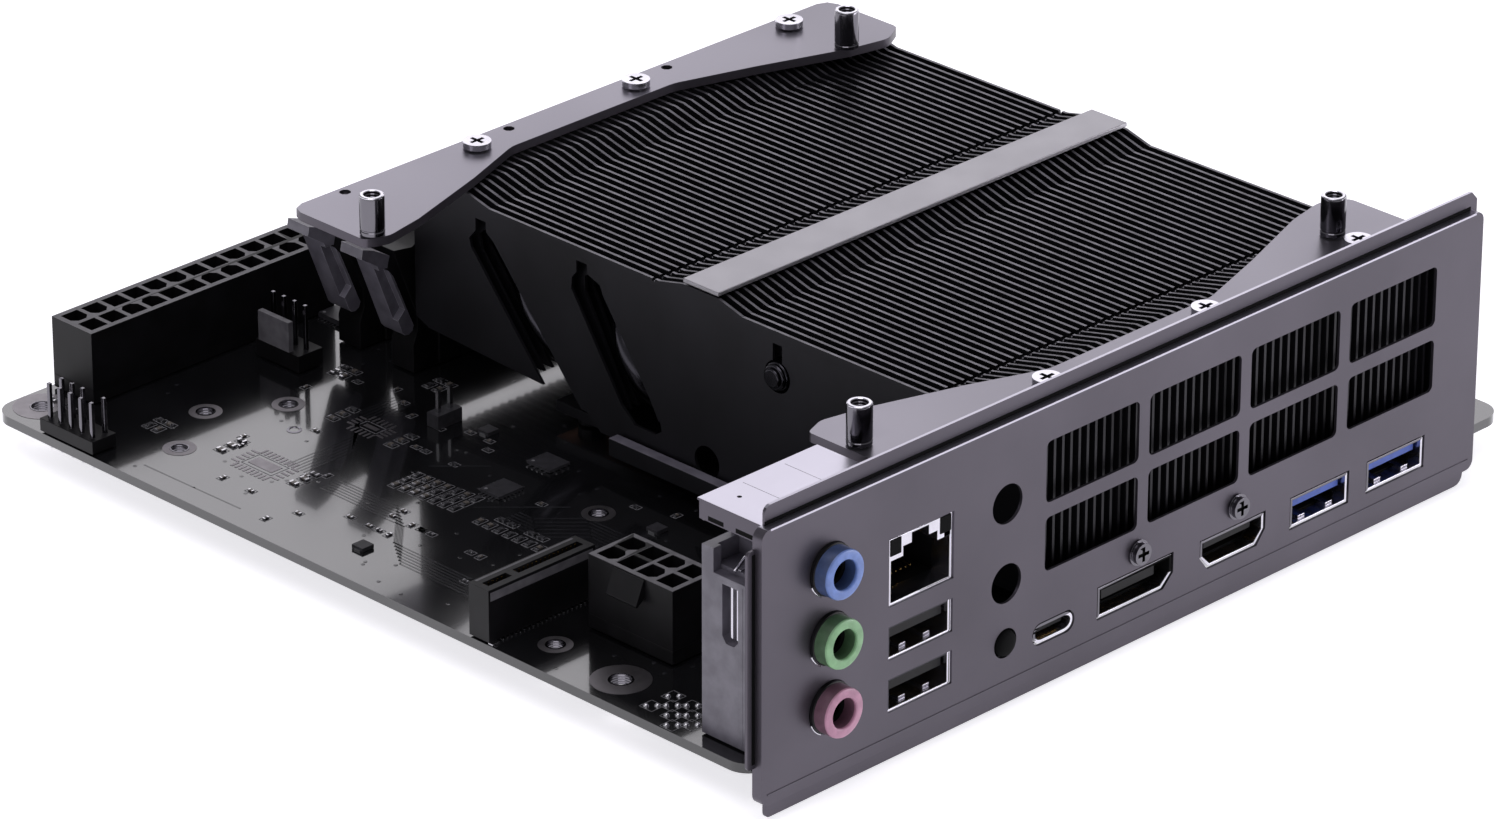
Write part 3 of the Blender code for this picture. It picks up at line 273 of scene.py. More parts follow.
def finish_copper():
    """Milled copper: warm, satin, with cutter lines."""
    tree, shader, where = new_finish("copper", "milled_copper", linear("b87a5c"), 0.32, 1.0)
    mottle(tree, shader, where, 6.0, linear("a86c50"), linear("c48a6a"))
    grain(tree, shader, where, 0.4, 0.008, (0.1, 1, 1))


def finish_gold():
    """Hard gold flash on spring contacts: thin, warm and bright."""
    tree, shader, where = new_finish("gold", "gold_flashed_contact", linear("d8b36a"), 0.22, 1.0)
    wear(tree, shader, where, 0.7, 0.16, 0.3)


def finish_nylon():
    """Glass-filled nylon, moulded: black, fine spark-eroded texture and a low sheen."""
    tree, shader, where = new_finish("nylon", "moulded_black_nylon", linear("0e0d10"), 0.45, 0.0,
                                     Specular_IOR_Level=0.22)
    mottle(tree, shader, where, 4.0, linear("0b0a0c"), linear("121114"))
    grain(tree, shader, where, 0.3, 0.012)


def finish_lever():
    """Moulded dark grey nylon, smoother than the sockets; its bevelled edges take a paler finish as a painted
    highlight.
    """
    tree, shader, where = new_finish("lever", "moulded_grey_nylon", linear("625f68"), 0.36, 0.0)
    mottle(tree, shader, where, 3.0, linear("595660"), linear("6d6a74"))
    wear(tree, shader, where, 4.0, 0.34, 0.48)
    grain(tree, shader, where, 0.3, 0.008)


def finish_lever_highlight():
    """The lever's rounded edges, painted pale and a little glossier as a highlight."""
    tree, shader, where = new_finish("lever_highlight", "painted_highlight_nylon_edge", linear("98959e"), 0.3, 0.0)
    mottle(tree, shader, where, 1.5, linear("8a8790"), linear("a6a3ac"))


def finish_nylon_sheen():
    """Mid grey nylon with faint moulding flow, as painted sheen on the top faces and edges of black sockets."""
    tree, shader, where = new_finish("strip", "grey_nylon_painted_sheen", linear("5c5a5f"), 0.5, 0.0)
    mottle(tree, shader, where, 2.0, linear("545257"), linear("656368"))


def finish_chip():
    """Epoxy moulding compound: charcoal with a fine matt grain from the mould."""
    tree, shader, where = new_finish("chip", "epoxy_moulding_compound", linear("2a292d"), 0.5, 0.0)
    mottle(tree, shader, where, 1.0, linear("252428"), linear("323136"))
    grain(tree, shader, where, 0.15, 0.01)


def finish_ceramic():
    """Fired ceramic capacitor body: warm grey brown, slightly glazed."""
    tree, shader, where = new_finish("ceramic", "fired_grey_ceramic", linear("57514d"), 0.35, 0.0)
    mottle(tree, shader, where, 0.6, linear("4c4743"), linear("645d58"))


def finish_substrate():
    """Green build-up laminate of the processor package, lacquered."""
    tree, shader, where = new_finish("substrate", "green_package_laminate", linear("2c5a44"), 0.3, 0.0)
    mottle(tree, shader, where, 2.0, linear("26523c"), linear("33644c"))


def finish_silicon():
    """Polished silicon die: dark blue grey mirror."""
    tree, shader, where = new_finish("silicon", "polished_silicon", linear("4a5058"), 0.1, 0.8)
    wear(tree, shader, where, 5.0, 0.06, 0.14)


def finish_black_and_shade():
    """Matt black with no sheen: the black of the button cap, the lamp windows and the cut lines, and painted shade in
    bores, recesses, liners and the gaps between parts.
    """
    tree, shader, where = new_finish("black_and_shade", "matt_black_nylon", linear("070708"), 0.8, 0.0,
                                     Specular_IOR_Level=0.1)
    grain(tree, shader, where, 0.3, 0.01)


def finish_coloured(key, name, colour):
    """ABS moulded in colour: satin with soft specular and fine texture."""
    tree, shader, where = new_finish(key, name, tuple(colour), 0.35, 0.0)
    mottle(tree, shader, where, 1.5, shade(colour, 0.86), shade(colour, 1.13))
    wear(tree, shader, where, 1.0, 0.3, 0.42)
    grain(tree, shader, where, 0.2, 0.006)


def finish_floor():
    """Matt white table laminate, pale and even."""
    tree, shader, where = new_finish("floor", "matt_white_laminate", linear("f4f4f6"), 0.9, 0.0,
                                     Specular_IOR_Level=0.0)
    mottle(tree, shader, where, 300.0, linear("f3f3f5"), linear("f6f6f8"))
    shader.inputs["Emission Color"].default_value = (*linear("f8f7fb"), 1.0)
    shader.inputs["Emission Strength"].default_value = 0.72


def make_finishes(settings):
    """Every finish, with the colours that the user can change taken from the settings."""
    finish_solder_mask(settings)
    finish_track()
    finish_silk()
    finish_pad()
    finish_solder()
    finish_shield(settings)
    finish_bracket(settings)
    finish_bar()
    finish_fin()
    finish_fin_top_highlight()
    finish_pipe()
    finish_plated()
    finish_cover()
    finish_nickel()
    finish_copper()
    finish_gold()
    finish_nylon()
    finish_lever()
    finish_lever_highlight()
    finish_nylon_sheen()
    finish_chip()
    finish_ceramic()
    finish_substrate()
    finish_silicon()
    finish_black_and_shade()
    finish_coloured("blue", "moulded_blue_abs", settings.line_in_colour)
    finish_coloured("green", "moulded_green_abs", settings.line_out_colour)
    finish_coloured("pink", "moulded_pink_abs", settings.microphone_colour)
    # Darkened copies of the jack colours, for the barrel sides as painted shade.
    finish_coloured("blue_side", "shaded_blue_abs", shade(settings.line_in_colour, 0.3))
    finish_coloured("green_side", "shaded_green_abs", shade(settings.line_out_colour, 0.3))
    finish_coloured("pink_side", "shaded_pink_abs", shade(settings.microphone_colour, 0.3))
    finish_coloured("tongue", "moulded_blue_tongue", settings.tongue_colour)
    finish_floor()


# ------------------------------------------------------------ shape making

def circle(centre, radius, count=32):
    """A closed outline of a circle, as straight steps."""
    turn = 2 * math.pi / count
    return [
        (centre[0] + radius * math.cos(turn * (i + 0.5)), centre[1] + radius * math.sin(turn * (i + 0.5)))
        for i in range(count)
    ]


def rectangle(x0, z0, x1, z1):
    """The outline between two opposite corners."""
    return [(x0, z0), (x1, z0), (x1, z1), (x0, z1)]


def rounded(points, radius, steps=5):
    """A closed outline with each corner replaced by an arc; a list gives each corner its own radius."""
    radii = radius if isinstance(radius, (list, tuple)) else [radius] * len(points)
    outline = []
    for i, (corner, size) in enumerate(zip(points, radii)):
        here = Vector(corner)
        if not size:
            outline.append(tuple(here))
            continue
        before = (Vector(points[i - 1]) - here).normalized()
        after = (Vector(points[(i + 1) % len(points)]) - here).normalized()
        half = before.angle(after) / 2
        start = here + before * (size / math.tan(half))
        end = here + after * (size / math.tan(half))
        middle = here + (before + after).normalized() * (size / math.sin(half))
        sweep = (start - middle).angle_signed(end - middle)
        arm = start - middle
        for step in range(steps + 1):
            turn = -sweep * step / steps
            outline.append((
                middle.x + arm.x * math.cos(turn) - arm.y * math.sin(turn),
                middle.y + arm.x * math.sin(turn) + arm.y * math.cos(turn),
            ))
    return outline


def grown(points, distance):
    """A near-rectangular outline moved outwards, or inwards if distance is negative."""
    xs = [p[0] for p in points]
    zs = [p[1] for p in points]
    middle = ((min(xs) + max(xs)) / 2, (min(zs) + max(zs)) / 2)
    half = ((max(xs) - min(xs)) / 2, (max(zs) - min(zs)) / 2)
    return [
        tuple(middle[k] + (p[k] - middle[k]) * (1 + distance / half[k]) for k in (0, 1)) for p in points
    ]


class Shape:
    """A mesh under construction in board millimetres. Each solid added to it takes a paint number."""

    def __init__(self):
        self.mesh = bmesh.new()

    def _paint(self, verts, paint):
        """Gives the faces round these points their paint number."""
        for face in {face for vert in verts for face in vert.link_faces}:
            face.material_index = paint

    def box(self, low, high, paint=0):
        """A block between two corners."""
        low, high = Vector(low), Vector(high)
        matrix = Matrix.LocRotScale((low + high) / 2, None, high - low)
        self._paint(bmesh.ops.create_cube(self.mesh, size=1.0, matrix=matrix)["verts"], paint)

    def strip(self, start, end, width, low, high, paint=0):
        """A flat bar along a line on the board."""
        a, b = Vector((*start, 0)), Vector((*end, 0))
        middle = (a + b) / 2
        middle.z = (low + high) / 2
        turn = Matrix.Rotation(math.atan2(b.y - a.y, b.x - a.x), 3, "Z").to_quaternion()
        matrix = Matrix.LocRotScale(middle, turn, Vector(((b - a).length + width, width, high - low)))
        self._paint(bmesh.ops.create_cube(self.mesh, size=1.0, matrix=matrix)["verts"], paint)

    def frame(self, corners, width, low, high, paint=0):
        """A thin rectangular line on the board."""
        x0, y0, x1, y1 = corners
        for a, b in (((x0, y0), (x1, y0)), ((x1, y0), (x1, y1)), ((x1, y1), (x0, y1)), ((x0, y1), (x0, y0))):
            self.strip(a, b, width, low, high, paint)

    def turned(self, centre, profile, axis="z", paint=0, steps=32):
        """A turned solid from (radius, height) points; a point at radius 0 closes an end."""
        rings = []
        for radius, along in profile:
            count = steps if radius > 0 else 1
            ring = []
            for i in range(count):
                turn = 2 * math.pi * i / steps
                u, v = radius * math.cos(turn), radius * math.sin(turn)
                if axis == "z":
                    spot = (centre[0] + u, centre[1] + v, along)
                else:
                    spot = (centre[0] + v, along, centre[1] + u)
                ring.append(self.mesh.verts.new(spot))
            rings.append(ring)
        closed = profile[0][0] > 0
        pairs = list(zip(rings, rings[1:])) + ([(rings[-1], rings[0])] if closed else [])
        for a, b in pairs:
            for i in range(steps):
                j = (i + 1) % steps
                corners = [a[i % len(a)], a[j % len(a)], b[j % len(b)], b[i % len(b)]]
                unique = list(dict.fromkeys(corners))
                if len(unique) > 2:
                    self.mesh.faces.new(unique).material_index = paint

    def sheet(self, contours, axis, start, end, paint=0):
        """A prism from flat outlines (the first is outer, the others holes) in the plane across one axis."""
        curve = bpy.data.curves.new("outline", "CURVE")
        curve.dimensions = "2D"
        curve.fill_mode = "BOTH"
        curve.extrude = abs(end - start) / 2
        for contour in contours:
            spline = curve.splines.new("POLY")
            spline.points.add(len(contour) - 1)
            for point, (u, v) in zip(spline.points, contour):
                point.co = (u, v, 0, 1)
            spline.use_cyclic_u = True
        holder = bpy.data.objects.new("outline", curve)
        bpy.context.scene.collection.objects.link(holder)
        flat = bpy.data.meshes.new_from_object(holder.evaluated_get(bpy.context.evaluated_depsgraph_get()))
        bpy.data.objects.remove(holder)
        bpy.data.curves.remove(curve)
        middle = (start + end) / 2
        for vertex in flat.vertices:
            u, v, w = vertex.co
            vertex.co = {"x": (w + middle, u, v), "y": (u, w + middle, v), "z": (u, v, w + middle)}[axis]
        count = len(self.mesh.verts)
        self.mesh.from_mesh(flat)
        self.mesh.verts.ensure_lookup_table()
        fresh = self.mesh.verts[count:]
        bmesh.ops.remove_doubles(self.mesh, verts=fresh, dist=1e-4)
        self.mesh.verts.ensure_lookup_table()
        self._paint(self.mesh.verts[count:], paint)
        bpy.data.meshes.remove(flat)

    def tube(self, points, radius, paint=0, steps=10):
        """A closed round tube along points."""
        points = [Vector(p) for p in points]
        side = Vector((0, 0, 1)) if abs((points[1] - points[0]).normalized().z) < 0.9 else Vector((1, 0, 0))
        rings = []
        for i, point in enumerate(points):
            ahead = (points[min(i + 1, len(points) - 1)] - points[max(i - 1, 0)]).normalized()
            side = (side - ahead * side.dot(ahead)).normalized()
            other = ahead.cross(side)
            ring = []
            for k in range(steps):
                turn = 2 * math.pi * k / steps
                arm = side * math.cos(turn) + other * math.sin(turn)
                ring.append(self.mesh.verts.new(point + arm * radius))
            rings.append(ring)
        for a, b in zip(rings, rings[1:]):
            for k in range(steps):
                self.mesh.faces.new((a[k], a[(k + 1) % steps], b[(k + 1) % steps], b[k])).material_index = paint
        self.mesh.faces.new(rings[0]).material_index = paint
        self.mesh.faces.new(rings[-1]).material_index = paint

    def copy(self, node, paint=0):
        """The CAD node's own surface, with coplanar triangles merged so that its edges can be bevelled."""
        source = bmesh.new()
        source.from_mesh(frame["nodes"][node].data)
        bmesh.ops.remove_doubles(source, verts=source.verts, dist=2e-6)
        bmesh.ops.transform(source, matrix=Matrix.Translation(-ORIGIN), verts=source.verts)
        bmesh.ops.scale(source, vec=(1 / MM,) * 3, verts=source.verts)
        bmesh.ops.dissolve_limit(
            source, angle_limit=math.radians(1), verts=source.verts, edges=source.edges, delimit=set()
        )
        for face in source.faces:
            face.material_index = paint
        part = bpy.data.meshes.new("part")
        source.to_mesh(part)
        source.free()
        self.mesh.from_mesh(part)
        bpy.data.meshes.remove(part)

    def finish(self, name, finishes, node=None, stands_for=(), bevel=0.0, segments=2, body="board",
               smooth=35.0, edge_paint=-1):
        """The finished piece. It rides as node does, and stands for node and stands_for."""
        bmesh.ops.recalc_face_normals(self.mesh, faces=self.mesh.faces)
        for vertex in self.mesh.verts:
            vertex.co = ORIGIN + vertex.co * MM
        mesh = bpy.data.meshes.new(name)
        self.mesh.to_mesh(mesh)
        self.mesh.free()
        for key in finishes:
            mesh.materials.append(FINISHES[key])
        piece = bpy.data.objects.new(name, mesh)
        bpy.context.scene.collection.objects.link(piece)
        mesh.shade_smooth()
        mesh.set_sharp_from_angle(angle=math.radians(smooth))
        if bevel:
            edge = piece.modifiers.new("edge", "BEVEL")
            edge.width = bevel * MM
            edge.segments = segments
            edge.limit_method = "ANGLE"
            edge.angle_limit = math.radians(40)
            edge.harden_normals = True
            edge.material = edge_paint
        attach(piece, BODY_OF[node] if node else body)
        replaced = ([node] if node else []) + list(stands_for)
        if replaced:
            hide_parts(*replaced)
        return piece


def add_contacts(shape, centres, low_y, high_y, z, width, paint, height=0.12):
    """A row of flat contact blades along Y."""
    for x in centres:
        shape.box((x - width / 2, low_y, z), (x + width / 2, high_y, z + height), paint)


def spread(low, high, count):
    """Evenly spaced values from low to high, both included."""
    return [low + (high - low) * i / (count - 1) for i in range(count)]


def look_at(azimuth, elevation):
    """The unit vector from the object towards a camera at these angles, in degrees."""
    az, el = math.radians(azimuth), math.radians(elevation)
    return Vector((math.sin(az) * math.cos(el), -math.cos(az) * math.cos(el), math.sin(el)))


# ---------------------------------------------------------------- settings

class MotherboardFinishes(bpy.types.PropertyGroup):
    """Colours of the finishes"""
    mask_colour: bpy.props.FloatVectorProperty(
        name="Solder mask", description="Colour of the board's mask", subtype="COLOR", default=linear("111113"))
    shield_colour: bpy.props.FloatVectorProperty(
        name="Rear shield", description="Lacquer of the rear shield", subtype="COLOR", default=linear("56525a"))
    bracket_colour: bpy.props.FloatVectorProperty(
        name="Brackets", description="Steel of the fan brackets", subtype="COLOR", default=linear("87848d"))
    line_in_colour: bpy.props.FloatVectorProperty(
        name="Line in", description="Top jack", subtype="COLOR", default=linear("647dba"))
    line_out_colour: bpy.props.FloatVectorProperty(
        name="Line out", description="Middle jack", subtype="COLOR", default=linear("7ba67a"))
    microphone_colour: bpy.props.FloatVectorProperty(
        name="Microphone", description="Bottom jack", subtype="COLOR", default=linear("ad7c94"))
    tongue_colour: bpy.props.FloatVectorProperty(
        name="Socket tongues", description="Tongues of the fast sockets", subtype="COLOR", default=linear("3450a2"))


class MotherboardSizes(bpy.types.PropertyGroup):
    """Sizes and counts of the finished detail, in metres"""
    edge_round: bpy.props.FloatProperty(
        name="Edge round", description="Rounding of the audio block's moulded edges", default=0.00018, unit="LENGTH")
    tab_pitch: bpy.props.FloatProperty(
        name="Fin tab pitch", description="Spacing of the folded fin tabs along a fin", default=0.0065, unit="LENGTH")
    solder_height: bpy.props.FloatProperty(
        name="Solder height", description="How far a soldered pin stands under the board", default=0.0011,
        unit="LENGTH")
    scatter_seed: bpy.props.IntProperty(
        name="Scatter seed", description="Picks the layout of small parts and tracks", default=7)
    floor_size: bpy.props.FloatProperty(
        name="Floor size", description="Width of the floor", default=60.0, unit="LENGTH")
    lens: bpy.props.FloatProperty(name="Lens", description="Focal length in millimetres", default=181.3)


# ---------------------------------------------------- measures of the pieces

# Each hole's centre and radius: four for mounting, then the small plated ones.
HOLES = [((6.35, 33.02), 1.98), ((6.35, 165.1), 1.98), ((163.65, 10.16), 1.98), ((163.65, 165.1), 1.98)]
HOLES += [((x, y), 1.6) for x, y in ((23.5, 145.3), (11.8, 138.2), (34.6, 138.0), (7.3, 48.0), (42.4, 75.1))]
# The rear shield's raised face as (x0, z0, x1, z1), like every socket mouth below.
FACE = (-2.25, -3.81, 156.5, 40.64)
FACE_Y, FLANGE_Y, SHEET = -4.85, -3.45, 0.5
SOCKET_FRONT = -4.6
JACKS = {"jack_line_in": 30.1, "jack_line_out": 18.9, "jack_microphone": 7.7}
JACK_X, JACK_RADIUS, JACK_BORE = 11.7, 3.9, 1.8
NETWORK = (24.4, 19.8, 36.8, 26.6)
NETWORK_BEZEL = (23.9, 19.3, 37.5, 30.3)
TWIN_SOCKETS = {"upper": (24.2, 10.9, 37.1, 15.8), "lower": (24.2, 2.3, 37.1, 7.2)}
OVAL_SOCKET = (54.8, 1.3, 64.0, 5.0)
CUT_SOCKET = (69.0, 0.8, 86.0, 6.4)
TAPERED_SOCKET = (92.0, 0.6, 107.0, 6.0)
FAST_SOCKETS = {"usb3_a": (112.7, 0.5, 126.5, 6.1), "usb3_b": (130.6, 0.5, 144.4, 6.1)}
VENT_COLUMNS = ((57.2, 77.5), (79.8, 100.3), (102.6, 123.0), (125.4, 145.7))
VENT_ROWS = ((13.2, 22.1), (24.5, 34.6))
AERIAL_HOLES = ((48.9, 27.4), (48.9, 14.3))
PORT_SCREWS = {"port_screw_left": (77.9, 9.2), "port_screw_right": (100.2, 9.1)}
BUTTON = (48.9, 4.4)
FIN_X, FIN_Y, FIN_COUNT, FIN_THICK = (56.0, 148.4), (-2.4, 131.0), 52, 0.5
# Heights along a fin's top edge: its risen ends, its long low stretches, the ridge under the bar and the nicks.
FIN_END, FIN_BED, FIN_RIDGE, FIN_NICK = 36.4, 35.0, 36.2, 34.5
# Each heat pipe's upper run in (y, z), the place of its lower run along y, and the side that it bends back on.
PIPES = {"heat_pipe_far": ((115.2, 28.0), 97.3, -1), "heat_pipe_middle": ((91.4, 28.0), 79.0, -1),
         "heat_pipe_front": ((49.8, 27.4), 64.5, 1)}
PIPE_RADIUS, PIPE_LOW = 2.4, 6.8
CELL_PITCH, CELL_SIDE, CELL_WALL, POWER_TOP = 4.2, 3.4, 0.6, 12.6
POWER_SOCKETS = {"atx_power_24": ((12, 2), (12.3, 159.4)), "eps_power_8": ((2, 4), (14.5, 30.4))}
# Thickness of what lies on the board: screen ink, covered copper track and tinned pad.
INK_THICK, TRACK_THICK, PAD_THICK = 0.03, 0.035, 0.05


def network_mouth():
    """The network socket's opening, with two steps up to the latch slot."""
    x0, z0, x1, z1 = NETWORK
    return [
        (x0, z0), (x1, z0), (x1, z1), (x1 - 2.6, z1), (x1 - 2.6, z1 + 1.6), (x1 - 4.4, z1 + 1.6),
        (x1 - 4.4, z1 + 3.2), (x0 + 4.4, z1 + 3.2), (x0 + 4.4, z1 + 1.6), (x0 + 2.6, z1 + 1.6),
        (x0 + 2.6, z1), (x0, z1),
    ]


def cut_mouth():
    """A rectangle with one lower corner cut off."""
    x0, z0, x1, z1 = CUT_SOCKET
    return [(x0, z0), (x1 - 2.2, z0), (x1, z0 + 2.2), (x1, z1), (x0, z1)]


def tapered_mouth():
    """A rectangle with both lower corners drawn in."""
    x0, z0, x1, z1 = TAPERED_SOCKET
    return [(x0, z1), (x0, z0 + 2.4), (x0 + 1.9, z0), (x1 - 1.9, z0), (x1, z0 + 2.4), (x1, z1)]


def clear_of_holes(x, y, distance):
    """Whether a place on the board is further than distance from every hole."""
    return all((Vector((x, y)) - Vector(at)).length > distance for at, _ in HOLES)


def flange_outline():
    """The shield's four flanges, each standing out on its own between notched corners."""
    left, right = FACE[0] + 0.1, FACE[2] - 0.1
    low, high = FACE[1] + 0.1, FACE[3] - 0.1
    x0, z0, x1, z1 = -3.75, -6.8, 158.0, 43.64
    return rounded([
        (left + 2.0, z0), (right - 0.6, z0), (right - 0.6, low - 0.3), (right, low - 0.3), (right, -1.5),
        (x1, -1.5), (x1, 38.3), (right, 38.3), (right, 42.2), (right - 1.3, z1), (left + 1.9, z1),
        (left + 1.9, high), (left, high), (left, 37.4), (x0, 37.4), (x0, 2.3), (left, 2.3), (left, low),
        (left + 2.0, low),
    ], [1.0, 1.8, 0, 0.5, 0, 0.8, 0.8, 0, 0, 0, 1.2, 0, 1.5, 0, 0.6, 0.6, 0, 1.5, 0], 4)


# ------------------------------------------------------------------- pieces

class MOTHERBOARD_OT_board(bpy.types.Operator):
    """The drilled board with its pads, plated hole barrels, vias and tracks"""
    bl_idname = "motherboard.board"
    bl_label = "Board"

    def execute(self, context):
        shape = Shape()
        outline = rounded(rectangle(0, 0, BOARD, BOARD), 4.0, 8)
        shape.sheet([outline] + [circle(at, r, 40) for at, r in HOLES], "z", UNDERSIDE, 0)
        shape.finish("board_laminate", ["mask"], "pcb", bevel=0.12)

        pads = Shape()
        for at, r in HOLES:
            wide = 4.7 if r > 1.9 else 2.7
            ring = [circle(at, wide, 48), circle(at, r + 0.02, 48)]
            pads.sheet(ring, "z", 0.0, PAD_THICK)
            pads.sheet(ring, "z", UNDERSIDE - PAD_THICK, UNDERSIDE)
            wall = 0.25
            pads.turned(at, [(r - 0.02, UNDERSIDE - 0.06), (r - 0.02, 0.1), (r - wall, 0.1),
                             (r - wall, UNDERSIDE - 0.06)], paint=1, steps=40)
            for groove in spread(UNDERSIDE + 0.2, -0.2, 4):
                pads.turned(at, [(r - wall, groove - 0.08), (r - wall - 0.1, groove), (r - wall, groove + 0.08)],
                            paint=1, steps=40)
        for at in ((29.0, 130.4), (12.8, 71.3)):
            pads.turned(at, [(1.25, 0.0), (1.25, 0.06), (0.8, 0.08), (0.72, 0.0)], steps=28, paint=1)
        pads.finish("hole_pads", ["pad", "nickel"])

        rng = random.Random(context.scene.motherboard_sizes.scatter_seed)
        tracks = Shape()
        ways = [[(4, 137.5), (4.2, 126), (4.4, 115.6)], [(35.3, 105.7), (42, 99.1)], [(29.9, 90.7), (40.8, 79.8)]]
        for start in range(7):
            x, y = 9.0 + start * 0.7, 62.0
            ways.append([(x, y), (x, 84 + start), (x + 9, 93 + start), (x + 9, 112)])
        for start in range(6):
            x = 36.0 + start * 0.8
            ways.append([(x, 62), (x, 70 + start), (x - 6, 76 + start), (x - 6, 84)])
        for start in range(6):
            y = 118.0 + start * 0.8
            ways.append([(20, y), (30 + start, y), (36 + start, y + 6), (48, y + 6)])
        for way in ways:
            for a, b in zip(way, way[1:]):
                tracks.strip(a, b, 0.28, 0.0, TRACK_THICK)
        for _ in range(260):
            x, y = rng.uniform(2, 168), rng.uniform(20, 168)
            if clear_of_holes(x, y, 6):
                tracks.turned((x, y), [(0, 0.0), (0.34, 0.0), (0.34, 0.03), (0.2, 0.05), (0, 0.02)], steps=10)
                tracks.turned((x, y), [(0, UNDERSIDE), (0.34, UNDERSIDE), (0.34, UNDERSIDE - 0.03),
                                       (0.2, UNDERSIDE - 0.05), (0, UNDERSIDE - 0.02)], steps=10)
        tracks.finish("tracks_and_vias", ["track"])
        return {"FINISHED"}


def chip_resistor(shape, x, y, turned=False, size=(1.5, 0.8, 0.3), body=0):
    """A surface part with a body and two metal end caps; paints are body, then 2 for the caps."""
    half = (size[0] / 2, size[1] / 2) if not turned else (size[1] / 2, size[0] / 2)
    long = 1 if turned else 0
    shape.box((x - half[0], y - half[1], 0.04), (x + half[0], y + half[1], 0.04 + size[2]), body)
    for way in (-1, 1):
        low = [x - half[0] - 0.02, y - half[1] - 0.02, 0.0]
        high = [x + half[0] + 0.02, y + half[1] + 0.02, size[2] + 0.07]
        cap = 0.26 * size[0]
        if way < 0:
            high[long] = low[long] + cap
        else:
            low[long] = high[long] - cap
        shape.box(low, high, 2)
    outline = [x - half[0] - 0.35, y - half[1] - 0.35, x + half[0] + 0.35, y + half[1] + 0.35]
    shape.frame(outline, 0.12, 0.0, INK_THICK, 5)


def gull_chip(shape, x0, y0, x1, y1, height, pitch, sides="xy"):
    """A moulded chip with bent legs along its sides; paints are 3 for the body and 2 for the legs."""
    shape.box((x0, y0, 0.12), (x1, y1, height), 3)
    shape.turned((x0 + 0.7, y1 - 0.7), [(0, height), (0.3, height), (0.3, height + 0.02), (0, height + 0.02)],
                 paint=5, steps=12)
    if "y" in sides:
        for x in spread(x0 + pitch, x1 - pitch, max(2, int((x1 - x0 - 2 * pitch) / pitch) + 1)):
            for edge, out in ((y0, -1), (y1, 1)):
                a, b = sorted((edge - out * 0.05, edge + out * 0.85))
                shape.box((x - pitch * 0.22, a, 0.0), (x + pitch * 0.22, b, 0.14), 2)
    if "x" in sides:
        for y in spread(y0 + pitch, y1 - pitch, max(2, int((y1 - y0 - 2 * pitch) / pitch) + 1)):
            for edge, out in ((x0, -1), (x1, 1)):
                a, b = sorted((edge - out * 0.05, edge + out * 0.85))
                shape.box((a, y - pitch * 0.22, 0.0), (b, y + pitch * 0.22, 0.14), 2)


def footprint(shape, x0, y0, x1, y1, pitch):
    """An empty chip place: tinned pads round a printed outline; paints are 6 for the pads and 5 for the print."""
    for x in spread(x0 + 1, x1 - 1, int((x1 - x0 - 2) / pitch) + 1):
        for y in (y0, y1):
            shape.box((x - pitch * 0.25, y - 0.8, 0.0), (x + pitch * 0.25, y + 0.8, PAD_THICK), 6)
    for y in spread(y0 + 1, y1 - 1, int((y1 - y0 - 2) / pitch) + 1):
        for x in (x0, x1):
            shape.box((x - 0.8, y - pitch * 0.25, 0.0), (x + 0.8, y + pitch * 0.25, PAD_THICK), 6)
    shape.frame([x0 + 1.2, y0 + 1.2, x1 - 1.2, y1 - 1.2], 0.15, 0.0, INK_THICK, 5)
    shape.box((x0 + 1.9, y0 + 1.9, 0.0), (x1 - 1.9, y1 - 1.9, PAD_THICK), 6)


# Each chip's two corners, its height, its leg pitch and, if it has legs on one pair of sides only, which pair.
CHIPS = (
    (34.6, 89.2, 39.8, 93.6, 0.6, 0.7), (46.6, 90.4, 51.0, 95.6, 0.6, 0.9), (43.6, 37.6, 50.4, 44.4, 0.7, 0.6),
    (30.6, 52.0, 37.6, 59.0, 0.7, 0.6), (60.0, 153.6, 66.0, 159.0, 1.0, 0.7),
    (150.4, 30.0, 155.6, 38.0, 1.2, 0.8, "y"),
)
# Places that hold a group of parts of their own, kept clear of the scattered ones.
KEPT_CLEAR = (
    (14.2, 119.5, 20.6, 129.0), (35.9, 119.0, 40.6, 125.8), (33.8, 89.0, 40.2, 94.2), (46.0, 88.8, 51.6, 96.4),
    (24.5, 64.0, 36.0, 106.5),
)


